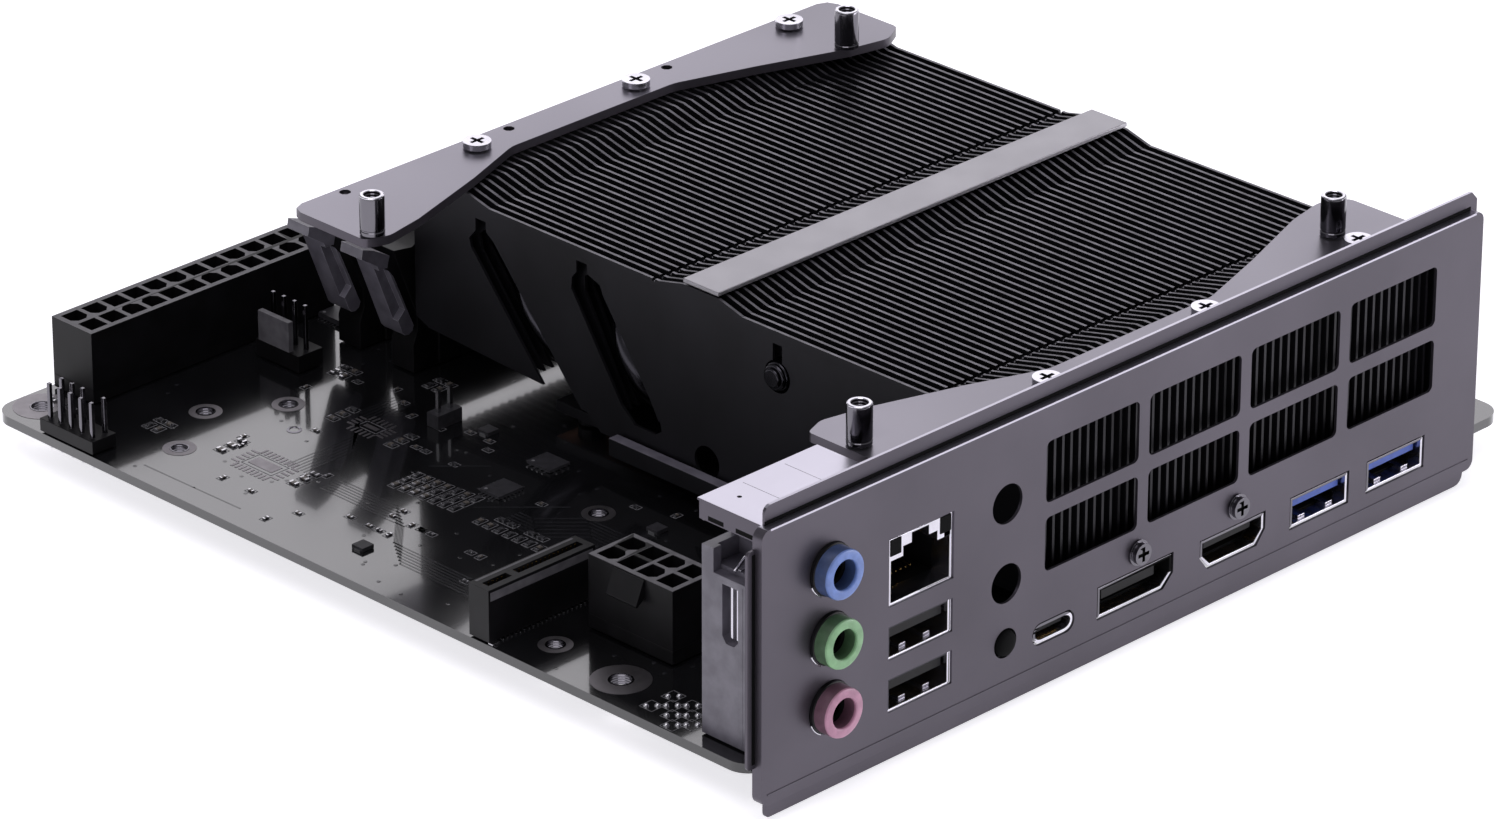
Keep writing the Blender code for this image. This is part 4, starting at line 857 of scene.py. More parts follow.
class MOTHERBOARD_OT_surface_parts(bpy.types.Operator):
    """Chips, resistors, capacitors, inductors and solder dots on the board's top face"""
    bl_idname = "motherboard.surface_parts"
    bl_label = "Surface parts"

    def execute(self, context):
        rng = random.Random(context.scene.motherboard_sizes.scatter_seed + 1)
        shape = Shape()
        footprint(shape, 14.2, 119.5, 20.4, 128.8, 0.9)
        footprint(shape, 35.9, 119.0, 40.6, 125.8, 0.8)
        for chip in CHIPS:
            gull_chip(shape, *chip)
        for x, y in ((18.15, 133.0), (18.25, 116.0), (38.3, 129.2), (38.3, 115.5)):
            chip_resistor(shape, x - 2.2, y, True)
            chip_resistor(shape, x, y, True)
            chip_resistor(shape, x + 2.2, y, True, body=1)
        for row in range(7):
            for column in range(3):
                chip_resistor(shape, 27.0 + column * 2.3 + row * 0.15, 104.6 - row * 2.1, body=rng.choice((0, 1)))
        for row in range(9):
            chip_resistor(shape, 27.6, 86.0 - row * 2.2, body=rng.choice((0, 1)))
            if row % 3:
                chip_resistor(shape, 30.2, 86.0 - row * 2.2, True, body=1)
        for x, y in ((56.5, 126.2), (49.0, 140.5), (15.1, 146.7), (50.7, 153.2)):
            for i in range(2):
                for j in range(2):
                    chip_resistor(shape, x - 1.2 + i * 2.4, y - 1.1 + j * 2.2, bool(i), body=j)
        for _ in range(110):
            x, y = rng.uniform(4, 52), rng.uniform(62, 142)
            near_group = any(a - 2 < x < c + 2 and b - 2 < y < d + 2 for a, b, c, d in KEPT_CLEAR)
            if clear_of_holes(x, y, 6.4) and not near_group and x % 9 < 5:
                chip_resistor(shape, round(x / 2.4) * 2.4, round(y / 2.2) * 2.2, rng.random() < 0.5,
                              (1.0, 0.5, 0.22), rng.choice((0, 1)))
        for x, y in ((20.0, 62.5), (44.6, 64.4), (50.0, 108.0), (8.6, 92.0)):
            shape.box((x - 1.2, y - 1.2, 0.05), (x + 1.2, y + 1.2, 0.7), 3)
            shape.box((x - 1.3, y - 0.7, 0.0), (x + 1.3, y + 0.7, 0.3), 2)
        for y in (161.5, 165.5):
            chip_resistor(shape, 9.0, y, True, body=1)
        for x in spread(70.0, 132.0, 14):
            chip_resistor(shape, x, 142.4, True, body=1)
            chip_resistor(shape, x, 155.6, True)
        for x in spread(76, 136, 6):
            shape.turned((x, 162.5), [(0, 0.6), (3.0, 0.6), (3.1, 1.0), (3.1, 6.6), (2.9, 7.0), (0, 7.0)],
                         paint=4, steps=28)
            shape.box((x - 3.3, 159.2, 0.0), (x + 3.3, 165.8, 0.8), 3)
        for y in spread(54.0, 128.0, 18):
            chip_resistor(shape, 154.6, y, body=1)
        for x, y in ((8.2, 23.8), (3.8, 23.9), (8.0, 19.7), (3.8, 19.6), (3.7, 15.4), (8.1, 15.3), (1.6, 17.4),
                     (5.9, 21.8), (5.8, 17.5)):
            for way in (-0.6, 0.6):
                shape.turned((x + way, y - way), [(0, 0.0), (0.5, 0.0), (0.44, 0.2), (0.25, 0.4), (0, 0.48)],
                             paint=2, steps=14)
            shape.frame([x - 1.3, y - 1.3, x + 1.3, y + 1.3], 0.1, 0.0, INK_THICK, 5)
        for i in range(2):
            shape.box((46.2 + i * 2.54 - 0.32, 115.1, 0.0), (46.2 + i * 2.54 + 0.32, 115.7, 6.2), 2)
        shape.box((44.9, 114.1, 0.05), (50.1, 116.7, 2.4), 3)
        shape.finish("surface_parts", ["ceramic", "chip", "solder", "chip", "bar", "silk", "pad"],
                     bevel=0.05, segments=1)
        return {"FINISHED"}


class MOTHERBOARD_OT_shield(bpy.types.Operator):
    """The pressed rear shield, with its own mouth for each socket and four flanges"""
    bl_idname = "motherboard.shield"
    bl_label = "Rear shield"

    def execute(self, context):
        face = rounded(rectangle(*FACE), 1.6, 6)
        inner = grown(face, -SHEET)
        openings = [
            rounded(rectangle(x0, z0, x1, z1), 1.0, 5)
            for x0, x1 in VENT_COLUMNS for z0, z1 in VENT_ROWS
        ]
        openings += [circle((JACK_X, z), JACK_RADIUS + 0.3, 48) for z in JACKS.values()]
        openings += [circle(at, 3.2, 40) for at in AERIAL_HOLES]
        openings += [circle(BUTTON, 2.4, 36)] + [circle(at, 1.3, 20) for at in PORT_SCREWS.values()]
        openings += [rectangle(*NETWORK_BEZEL)] + [grown(rectangle(*mouth), 0.3) for mouth in TWIN_SOCKETS.values()]
        openings += [rounded(rectangle(*OVAL_SOCKET), 1.75, 8), cut_mouth(), tapered_mouth()]
        openings += [rectangle(*mouth) for mouth in FAST_SOCKETS.values()]
        shape = Shape()
        shape.sheet([face] + openings, "y", FACE_Y, FACE_Y + SHEET)
        # The wall between face and flange is painted matt black as painted shade in the gap between them.
        shape.sheet([face, inner], "y", FACE_Y + SHEET, FLANGE_Y + SHEET, 1)
        shape.sheet([flange_outline(), inner], "y", FLANGE_Y, FLANGE_Y + SHEET)
        # The top faces of the face and flange edges take the pale plated finish as a painted highlight.
        bmesh.ops.recalc_face_normals(shape.mesh, faces=shape.mesh.faces)
        for rim in shape.mesh.faces:
            at = rim.calc_center_median()
            if rim.normal.z > 0.8 and at.z > FACE[3] - 0.1 and rim.material_index == 0:
                rim.material_index = 2
        shape.box((FACE[0] + 1.2, FACE_Y - 0.09, -2.15), (FACE[2] - 1.2, FACE_Y + 0.2, -1.9))
        x0, z0, x1, z1 = FACE
        # A pale strip along the face's top edge, as a painted highlight; a black strip on the flange just above it and
        # one beside the left flange, as painted shade in the gaps.
        shape.box((x0 + 1.8, FACE_Y - 0.03, z1 - 0.3), (x1 - 1.8, FACE_Y + 0.1, z1 + 0.02), 2)
        shape.box((x0 + 2.0, FLANGE_Y - 0.04, z1 - 0.1), (x1 - 1.6, FLANGE_Y + 0.1, z1 + 0.65), 1)
        shape.box((x0 - 0.6, FLANGE_Y - 0.04, 3.0), (x0 + 0.1, FLANGE_Y + 0.1, 36.8), 1)
        shape.finish("rear_shield", ["shield", "black_and_shade", "cover"], "io_shield", bevel=0.1)
        return {"FINISHED"}


class MOTHERBOARD_OT_audio(bpy.types.Operator):
    """The audio block with its spring contacts, and three turned jacks"""
    bl_idname = "motherboard.audio"
    bl_label = "Audio sockets"

    def execute(self, context):
        low, high = span("audio_stack")
        wall, step, rail = low.x + 1.6, low.x + 6.0, 31.0
        shape = Shape()
        throats = [circle((JACK_X, z), JACK_RADIUS + 0.3, 40) for z in JACKS.values()]
        core = [(wall, low.z), (high.x, low.z), (high.x, high.z), (step, high.z), (step, 28.0), (wall, 28.0)]
        shape.sheet([core] + throats, "y", low.y, 0.6)
        shape.sheet([core], "y", 0.55, high.y - 1.6)
        shape.sheet([[(low.x + 0.02, low.z), (high.x, low.z), (high.x, high.z), (step, high.z), (step, rail),
                      (low.x + 0.02, rail)]], "y", high.y - 1.6, high.y)
        panel = [(low.y, low.z), (high.y - 0.02, low.z), (high.y - 0.02, rail + 0.05), (high.y - 2.4, rail + 0.05),
                 (high.y - 2.4, 27.2), (low.y, 27.2)]
        slots = [
            [(5.2, 17.4), (6.0, 16.5), (7.6, 16.5), (8.4, 17.6), (8.4, 26.0), (5.2, 26.0)],
            rectangle(1.2, 19.0, 3.6, 26.0), rectangle(1.0, 9.5, 3.4, 15.5),
        ]
        shape.sheet([panel] + slots, "x", low.x, wall)
        shape.box((low.x - 0.05, low.y, 26.7), (low.x + 0.5, 9.9, 27.25))
        shape.box((low.x - 0.05, 4.2, 1.0), (low.x + 0.4, 4.8, 26.8))
        shape.finish("audio_block", ["lever"], "audio_stack",
                     bevel=context.scene.motherboard_sizes.edge_round / MM)
        springs = Shape()
        for y, z0, z1 in ((5.7, 17.3, 25.8), (6.9, 17.3, 25.8), (1.5, 10.0, 15.2), (2.5, 10.0, 15.2)):
            springs.box((low.x + 0.7, y, z0), (low.x + 0.9, y + 0.45, z1))
        for y in (-1.6, 1.2, 4.0, 6.8):
            springs.tube([(low.x + 0.9, y, 28.2), (low.x + 3.0, y, 29.6), (low.x + 5.6, y, 30.4)], 0.3)
            springs.box((low.x + 1.7, y - 0.5, 28.0), (low.x + 5.8, y + 0.5, 28.3))
        springs.finish("audio_springs", ["plated"], bevel=0.06)
        for (name, z), key in zip(JACKS.items(), ("blue", "green", "pink")):
            barrel = Shape()
            r, b, front, back = JACK_RADIUS, JACK_BORE, -8.0, -0.2
            barrel.turned((JACK_X, z), [
                (0, back), (r, back), (r, front + 0.35), (r - 0.1, front + 0.12), (r - 0.35, front),
                (b + 0.8, front), (b + 0.62, front + 0.12), (b + 0.55, front + 0.4), (b + 0.5, front + 2.4),
                (b, front + 2.6), (b, back - 1.2), (0, back - 1.2),
            ], "y", steps=64)
            # Faces deep in the bore take the matt black as painted shade; every face behind the front ring takes the
            # darkened copy of the colour as painted shade.
            for face in barrel.mesh.faces:
                centre = face.calc_center_median()
                out = math.hypot(centre.x - JACK_X, centre.z - z)
                if out < b + 0.3 and centre.y > front + 2.3:
                    face.material_index = 1
                elif centre.y > front + 0.3:
                    face.material_index = 2
            barrel.finish(name + "_barrel", [key, "black_and_shade", key + "_side"], name, smooth=32)
            # A black nylon ring in the gap round the barrel, as painted shade, and a short plated arc on the lower
            # left of the hole's edge, as a painted highlight.
            sleeve = Shape()
            sleeve.turned((JACK_X, z), [(r + 0.02, -5.5), (r + 0.2, -5.4), (r + 0.24, -4.5), (r + 0.02, -4.5)], "y",
                          steps=56)
            sleeve.tube([(JACK_X + (r + 0.34) * math.cos(turn), -4.92, z + (r + 0.34) * math.sin(turn))
                         for turn in spread(math.radians(203), math.radians(243), 9)], 0.17, 1, 8)
            sleeve.finish(name + "_rim_shade_and_highlight", ["nylon", "plated"])
            ring = Shape()
            ring.turned((JACK_X, z), [(b + 0.03, front + 2.7), (b + 0.03, -2.0), (b - 0.14, -2.0),
                                      (b - 0.14, front + 2.7)], "y", steps=40)
            ring.box((JACK_X - 0.35, front + 3.0, z + b - 0.65), (JACK_X + 0.35, front + 4.8, z + b - 0.1))
            ring.finish(name + "_sleeve", ["nickel"])
        return {"FINISHED"}


class MOTHERBOARD_OT_network(bpy.types.Operator):
    """The network socket over two sockets in one plated shell, with lamps, tongues and contacts"""
    bl_idname = "motherboard.network"
    bl_label = "Network and twin sockets"

    def execute(self, context):
        shell = Shape()
        shell.copy("lan_usb_shell")
        x0, z0, x1, z1 = NETWORK
        mouths = [(x0, z0, x1, z1 + 3.3)] + list(TWIN_SOCKETS.values())
        # Faces inside the mouths, behind the front, take the matt black as painted shade in the plated shell's
        # pockets.
        for face in shell.mesh.faces:
            at = face.calc_center_median()
            inside = any(a - 0.05 <= at.x <= c + 0.05 and b - 0.05 <= at.z <= d + 0.05 for a, b, c, d in mouths)
            if inside and at.y > SOCKET_FRONT + 0.3:
                face.material_index = 1
        shell.finish("network_shell", ["plated", "black_and_shade"], "lan_usb_shell", bevel=0.12)
        lips = Shape()
        bezel = grown(rectangle(*NETWORK_BEZEL), -0.12)
        bezel = [bezel[0], (bezel[1][0] - 0.5, bezel[1][1]), (bezel[2][0] - 0.5, bezel[2][1]), bezel[3]]
        lips.sheet([bezel, grown(network_mouth(), -0.05)], "y", SOCKET_FRONT - 0.1, -1.0)
        for a, b, c, d in TWIN_SOCKETS.values():
            lips.box((a - 0.2, SOCKET_FRONT - 0.1, b - 0.2), (c - 0.2, 4.0, b + 0.2))
            lips.box((c - 0.55, SOCKET_FRONT - 0.1, b - 0.2), (c - 0.2, 4.0, d + 0.2))
            lips.box((a - 0.2, SOCKET_FRONT - 0.05, b), (a + 0.15, 4.0, d + 0.2))
            lips.box((a, SOCKET_FRONT - 0.05, d - 0.15), (c - 0.3, 4.0, d + 0.2))
            for x in (a + 3.2, c - 4.6):
                lips.box((x, -3.6, b + 0.2), (x + 1.4, 3.0, b + 0.75))
                lips.box((x, -3.6, d - 0.75), (x + 1.4, 3.0, d - 0.2))
        # The twin sockets' top and left lips take the dark nickel as painted shade; the lower and right lips stay
        # bright.
        for rim in lips.mesh.faces:
            at = rim.calc_center_median()
            for a, b, c, d in TWIN_SOCKETS.values():
                if b < at.z < d + 0.3 and a - 0.3 < at.x < c + 0.3 and (at.z > d - 0.4 or at.x < a + 0.32):
                    rim.material_index = 1
        lips.finish("network_lips", ["plated", "pipe"], bevel=0.1)
        lamps = Shape()
        for x in (x0 - 0.2, x1 - 2.15):
            lamps.box((x, SOCKET_FRONT - 0.22, z1 + 0.75), (x + 2.35, -3.0, z1 + 3.5))
        lamps.finish("network_lamps", ["black_and_shade"], bevel=0.15)
        insert = Shape()
        insert.copy("network_insert")
        for x in spread(x0 + 2.7, x1 - 2.7, 8):
            insert.tube([(x, 0.6, z0 + 0.9), (x, 3.4, z0 + 1.3), (x, 6.3, z0 + 3.0)], 0.18, 1, 8)
        insert.finish("network_contacts", ["nylon", "gold"], "network_insert", bevel=0.05)
        for name, (a, b, c, d) in TWIN_SOCKETS.items():
            node = "usb2_tongue_" + name
            low, high = span(node)
            tongue = Shape()
            tongue.box(low, high)
            add_contacts(tongue, spread(low.x + 1.9, high.x - 1.9, 4), low.y + 0.4, high.y - 0.5, low.z - 0.12, 1.1, 1)
            tongue.finish("twin_socket_tongue_" + name, ["nylon", "gold"], node, bevel=0.15)
        return {"FINISHED"}


class MOTHERBOARD_OT_sockets(bpy.types.Operator):
    """The small rear sockets: shells with rolled lips, springs, tongues and contacts"""
    bl_idname = "motherboard.sockets"
    bl_label = "Rear sockets"

    def execute(self, context):
        outlines = {
            "usb_c": ("oval_socket", rounded(rectangle(*OVAL_SOCKET), 1.75, 8)),
            "displayport": ("cut_socket", cut_mouth()), "hdmi": ("tapered_socket", tapered_mouth()),
            "usb3_a": ("fast_socket_left", rectangle(*FAST_SOCKETS["usb3_a"])),
            "usb3_b": ("fast_socket_right", rectangle(*FAST_SOCKETS["usb3_b"])),
        }
        for name, (plain_name, outline) in outlines.items():
            low, high = span(name + "_shell")
            shell = Shape()
            outer, inner = grown(outline, -0.3), grown(outline, -0.75)
            shell.sheet([outer, inner], "y", SOCKET_FRONT - 0.1, high.y)
            shell.sheet([outer], "y", high.y - 0.5, high.y)
            # A black liner inside the shell, as painted shade in its throat.
            liner = grown(outline, -0.76), grown(outline, -1.0)
            shell.sheet([liner[0], liner[1]], "y", -2.2, high.y - 0.4, 1)
            if name in FAST_SOCKETS:
                for x in (low.x + 2.6, high.x - 4.2):
                    shell.box((x, -4.0, low.z + 0.45), (x + 1.6, 2.0, low.z + 0.95))
                    shell.box((x, -4.0, high.z - 0.95), (x + 1.6, 2.0, high.z - 0.45))
            # The shell's top and left faces take the dark nickel as painted shade.
            for rim in shell.mesh.faces:
                at = rim.calc_center_median()
                if rim.material_index == 0 and (at.z > high.z - 0.5 or at.x < low.x + 0.5):
                    rim.material_index = 2
            for x in (low.x + 0.4, high.x - 1.4):
                shell.box((x, 2.0, 0.0), (x + 1.0, 2.4, low.z + 0.6))
            shell.finish(plain_name + "_shell", ["plated", "black_and_shade", "nickel"], name + "_shell", bevel=0.08)
            node = name + "_tongue"
            low, high = span(node)
            tongue = Shape()
            tongue.box(low, high)
            count = {"usb_c": 8, "displayport": 10, "hdmi": 10}.get(name, 5)
            add_contacts(tongue, spread(low.x + 1.0, high.x - 1.0, count), low.y + 0.35, high.y - 0.6, low.z - 0.08,
                         0.55 if count > 5 else 1.0, 1)
            tongue.finish(plain_name + "_tongue", ["tongue" if name in FAST_SOCKETS else "nylon", "gold"], node,
                          bevel=0.12)
        return {"FINISHED"}


def cross_outline(centre, arm, half):
    """The outline of a screw's cross recess."""
    x, z = centre
    return [
        (x - half, z - arm), (x + half, z - arm), (x + half, z - half), (x + arm, z - half), (x + arm, z + half),
        (x + half, z + half), (x + half, z + arm), (x - half, z + arm), (x - half, z + half), (x - arm, z + half),
        (x - arm, z - half), (x - half, z - half),
    ]


class MOTHERBOARD_OT_screws(bpy.types.Operator):
    """Pan-head cross screws on the brackets and the rear shield"""
    bl_idname = "motherboard.screws"
    bl_label = "Screws"

    def execute(self, context):
        for index in range(1, 4):
            for side in ("front", "far"):
                node = f"bracket_{side}_screw_{index}"
                low, high = span(node)
                at = ((low.x + high.x) / 2, (low.y + high.y) / 2)
                shape = Shape()
                shape.turned(at, [(0, low.z), (1.0, low.z), (1.0, high.z - 1.0), (2.3, high.z - 1.0),
                                  (2.3, high.z - 0.5), (0, high.z - 0.5)], steps=40)
                shape.sheet([circle(at, 2.3, 40), cross_outline(at, 1.35, 0.33)], "z", high.z - 0.55, high.z)
                # A black disc on the floor of the cross recess, as painted shade.
                shape.turned(at, [(0, high.z - 0.5), (1.5, high.z - 0.5), (1.5, high.z - 0.45), (0, high.z - 0.45)],
                             paint=1, steps=24)
                shape.finish(node + "_head", ["plated", "black_and_shade"], node, bevel=0.3, segments=3)
        for node, at in PORT_SCREWS.items():
            low, high = span(node)
            front = low.y
            shape = Shape()
            shape.turned(at, [(0, front + 0.6), (1.75, front + 0.6), (1.75, front + 0.8), (2.1, front + 0.85),
                              (2.1, FACE_Y - 0.02), (1.0, FACE_Y - 0.02), (1.0, high.y), (0, high.y)], "y", steps=40)
            shape.sheet([circle(at, 1.75, 40), cross_outline(at, 1.2, 0.3)], "y", front, front + 0.62)
            # A black disc on the floor of the cross recess, as painted shade.
            shape.turned(at, [(0, front + 0.55), (1.45, front + 0.55), (1.45, front + 0.5), (0, front + 0.5)], "y", 1,
                         24)
            shape.finish(node + "_head", ["nickel", "black_and_shade"], node, bevel=0.25, segments=3)
        return {"FINISHED"}


class MOTHERBOARD_OT_button(bpy.types.Operator):
    """The domed rear push button and its switch block"""
    bl_idname = "motherboard.button"
    bl_label = "Button"

    def execute(self, context):
        low, high = span("switch_cap")
        x, z = BUTTON
        r = (high.x - low.x) / 2
        cap = Shape()
        cap.turned((x, z), [(0, low.y), (r * 0.45, low.y + 0.06), (r * 0.75, low.y + 0.22), (r * 0.93, low.y + 0.5),
                            (r, low.y + 0.9), (r, high.y), (0, high.y)], "y", steps=48)
        cap.finish("button_cap", ["black_and_shade"], "switch_cap", smooth=50)
        block = Shape()
        block.copy("switch_body")
        low, high = span("switch_body")
        for side in (low.x - 0.12, high.x - 0.03):
            block.box((side, -1.5, 0.0), (side + 0.15, 2.6, 4.2), 1)
        block.finish("button_block", ["nylon", "plated"], "switch_body", bevel=0.15)
        return {"FINISHED"}


class MOTHERBOARD_OT_cover(bpy.types.Operator):
    """The plated cover over the audio and network blocks, with its cut lines"""
    bl_idname = "motherboard.cover"
    bl_label = "Socket cover"

    def execute(self, context):
        low, high = span("stack_cover")
        shape = Shape()
        shape.copy("stack_cover")
        for x in (low.x + 8.0, low.x + 16.6):
            shape.box((x, low.y + 1.2, high.z - 0.1), (x + 0.14, high.y - 1.2, high.z + 0.012), 1)
        shape.turned((low.x + 4.4, high.y - 4.2), [(0, high.z - 0.1), (0.4, high.z - 0.1), (0.4, high.z + 0.012),
                                                   (0, high.z + 0.012)], paint=1, steps=20)
        for y0, y1 in ((1.0, 4.6), (7.0, 10.2)):
            shape.box((low.x - 0.012, y0, 35.9), (low.x + 0.1, y1, 36.7), 1)
        # The cover's left-facing sides take the darker shield lacquer as painted shade.
        bmesh.ops.recalc_face_normals(shape.mesh, faces=shape.mesh.faces)
        for side in shape.mesh.faces:
            if side.normal.x < -0.7 and side.material_index == 0:
                side.material_index = 2
        shape.finish("socket_cover", ["cover", "black_and_shade", "shield"], "stack_cover", bevel=0.1)
        return {"FINISHED"}


def slot_points(name, reach_z):
    """The slanted slot round a pipe's bend, open at the fin's lower edge."""
    (upper_y, upper_z), lower_y, _ = PIPES[name]
    lower, upper = Vector((lower_y, PIPE_LOW)), Vector((upper_y, upper_z))
    along = (upper - lower).normalized()
    across = -Vector((-along.y, along.x)) if -along.y > 0 else Vector((-along.y, along.x))
    half = PIPE_RADIUS + 0.3
    reach = (reach_z - lower.y) / along.y
    near = lower + along * (reach - across.y * half / along.y) + across * half
    far = lower + along * (reach + across.y * half / along.y) - across * half
    return [
        tuple(near), tuple(upper + across * half), tuple(upper + across * half * 0.5 + along * half * 0.87),
        tuple(upper - across * half * 0.5 + along * half * 0.87), tuple(upper - across * half), tuple(far),
    ]


def fin_top():
    """A fin's top edge in (y, z) from the far end to the front: risen ends, a middle ridge and two small nicks."""
    front, far = FIN_Y
    return [
        (far, FIN_END), (119.5, FIN_END), (113.6, FIN_BED), (77.0, FIN_BED), (76.9, FIN_NICK), (76.4, FIN_NICK),
        (76.3, FIN_BED), (75.4, FIN_BED), (70.2, FIN_RIDGE), (62.5, FIN_RIDGE), (57.3, 34.8), (18.0, FIN_BED),
        (17.9, FIN_NICK), (17.4, FIN_NICK), (17.3, FIN_BED), (17.0, FIN_BED), (11.1, FIN_END), (front, FIN_END),
    ]


def fin_outline(slotted):
    """An inner fin's edge, with a slot for each pipe in slotted."""
    bottom = [(FIN_Y[0], 8.4), (24.0, 8.4), (25.6, 9.7)]
    for name in sorted(slotted, key=lambda pipe: PIPES[pipe][1]):
        bottom += slot_points(name, 9.7)
    return fin_top() + bottom + [(128.0, 9.7), (FIN_Y[1], 10.9)]


def end_fin_outlines():
    """The left-hand fin: deeper in its middle, with slots and a keyhole round the pipes."""
    outline = fin_top() + [
        (FIN_Y[0], 8.4), (24.0, 8.4), (25.6, 9.7), (43.6, 9.7), (45.2, 4.6), (88.6, 4.6), (91.6, 7.1), (93.1, 7.3),
        (112.6, 29.6), (114.3, 30.8), (114.3, 32.5), (116.7, 32.5), (116.7, 30.4), (118.2, 28.6), (117.8, 27.1),
        (101.6, 8.5), (104.0, 8.6), (128.0, 9.7), (FIN_Y[1], 10.9),
    ]
    slot = [
        (84.0, 11.0), (95.0, 27.4), (94.8, 29.4), (93.8, 30.6), (93.8, 32.6), (91.4, 32.6), (91.4, 31.0), (88.6, 30.0),
        (87.8, 28.3), (75.4, 11.2), (75.0, 9.4), (76.4, 8.4), (81.0, 8.5),
    ]
    keyhole = [(49.8 + 2.7 * math.sin(math.radians(a)), 27.3 + 2.7 * math.cos(math.radians(a)))
               for a in spread(22, 338, 31)] + [(48.8, 32.7), (50.8, 32.7)]
    return [outline, slot, keyhole, circle((65.0, 7.6), 2.7, 32)]


class MOTHERBOARD_OT_fins(bpy.types.Operator):
    """Fifty-two stamped fins with folded tabs between them"""
    bl_idname = "motherboard.fins"
    bl_label = "Fins"

    def execute(self, context):
        pitch = (FIN_X[1] - FIN_X[0] - FIN_THICK) / (FIN_COUNT - 1)
        shape = Shape()
        for index in range(FIN_COUNT):
            x = FIN_X[0] + index * pitch
            slotted = set()
            for name, ((upper_y, upper_z), lower_y, end) in PIPES.items():
                reach = math.hypot(upper_y - lower_y, upper_z - PIPE_LOW) / 2 + PIPE_RADIUS + 1.6
                if (end < 0 and x < FIN_X[0] + reach) or (end > 0 and x > FIN_X[1] - reach - FIN_THICK):
                    slotted.add(name)
            if index == 0:
                outlines = end_fin_outlines()
            else:
                holes = [circle(path[0], 2.75, 20) for name, path in PIPES.items() if name not in slotted]
                outlines = [fin_outline(slotted)] + holes
            shape.sheet(outlines, "x", x, x + FIN_THICK)
        # Faces along the fins' top edges take the grey finish as a painted highlight.
        for face in shape.mesh.faces:
            at = face.calc_center_median()
            face.normal_update()
            if abs(face.normal.z) > 0.4 and at.z > FIN_NICK - 0.1:
                face.material_index = 1
        tab = context.scene.motherboard_sizes.tab_pitch / MM
        rows = [(y, 33.9) for y in spread(22.0, 22.0 + tab * 13, 14) if not 56 < y < 76]
        rows += [(y, 35.3) for y in (4.0, 9.0, 122.0, 127.0)]
        for y, z in rows:
            for index in range(FIN_COUNT - 1):
                x = FIN_X[0] + index * pitch + FIN_THICK - 0.05
                shape.box((x, y, z), (x + pitch - FIN_THICK + 0.1, y + 0.5, z + 0.2))
        shape.finish("cooling_fins", ["fin", "fin_top_highlight"], "fin_stack", smooth=4)
        return {"FINISHED"}


class MOTHERBOARD_OT_pipes(bpy.types.Operator):
    """Three bent heat pipes with swaged ends"""
    bl_idname = "motherboard.pipes"
    bl_label = "Heat pipes"

    def execute(self, context):
        plate_end = span("cold_plate")[1].x
        for name, ((upper_y, upper_z), lower_y, end) in PIPES.items():
            radius = math.hypot(upper_y - lower_y, upper_z - PIPE_LOW) / 2
            middle = Vector((0, (upper_y + lower_y) / 2, (upper_z + PIPE_LOW) / 2))
            arm = Vector((0, upper_y - lower_y, upper_z - PIPE_LOW)).normalized() * radius
            edge = FIN_X[0] if end < 0 else FIN_X[1]
            centre_x = edge - end * (radius + PIPE_RADIUS + 1.6)
            far_x = FIN_X[1] - 3.6 if end < 0 else FIN_X[0] - 0.3
            low_x = plate_end - 1 if end < 0 else 61.0
            path = [Vector((low_x, lower_y, PIPE_LOW))]
            for turn in spread(0, math.pi, 29):
                point = middle - arm * math.cos(turn)
                point.x = centre_x + end * radius * math.sin(turn)
                path.append(point)
            path.append(Vector((far_x, upper_y, upper_z)))
            shape = Shape()
            shape.tube(path, PIPE_RADIUS, steps=28)
            for tip in (path[-1], path[0]):
                for length, share in ((0.6, 0.9), (1.1, 0.68)):
                    shape.tube([tip, tip - Vector((end * length, 0, 0))], PIPE_RADIUS * share, steps=24)
            shape.finish(name + "_bent", ["pipe"], name, bevel=0.3, smooth=60)
        return {"FINISHED"}


class MOTHERBOARD_OT_cold_plate(bpy.types.Operator):
    """The copper plate with its side rail, the processor package and the plate under the board"""
    bl_idname = "motherboard.cold_plate"
    bl_label = "Cold plate and processor"

    def execute(self, context):
        plate = Shape()
        plate.copy("cold_plate")
        for face in plate.mesh.faces:
            at = face.calc_center_median()
            if not (2.25 < at.z < 2.35):
                face.material_index = 2 if at.x < 57.0 and at.z > 5.9 else 1
        plate.finish("copper_plate", ["copper", "fin", "lever"], "cold_plate", bevel=0.15)
        package = Shape()
        package.copy("processor")
        low, high = span("processor")
        for face in package.mesh.faces:
            if face.calc_center_median().z > 1.45:
                face.material_index = 1
        for i in range(10):
            for y in (low.y + 3.2, high.y - 3.6):
                package.box((low.x + 4 + i * 3.4, y, 1.2), (low.x + 5 + i * 3.4, y + 0.6, 1.6), 2)
        package.finish("processor_package", ["substrate", "silicon", "ceramic"], "processor", bevel=0.05)
        under = Shape()
        under.copy("backplate")
        low, high = span("backplate")
        for x in (low.x + 5, high.x - 5):
            for y in (low.y + 5, high.y - 5):
                under.turned((x, y), [(0, low.z - 0.7), (1.9, low.z - 0.7), (2.4, low.z - 0.3), (2.4, low.z + 0.1),
                                      (0, low.z + 0.1)], paint=1, steps=28)
        under.finish("under_plate", ["shield", "plated"], "backplate", bevel=0.2)
        return {"FINISHED"}


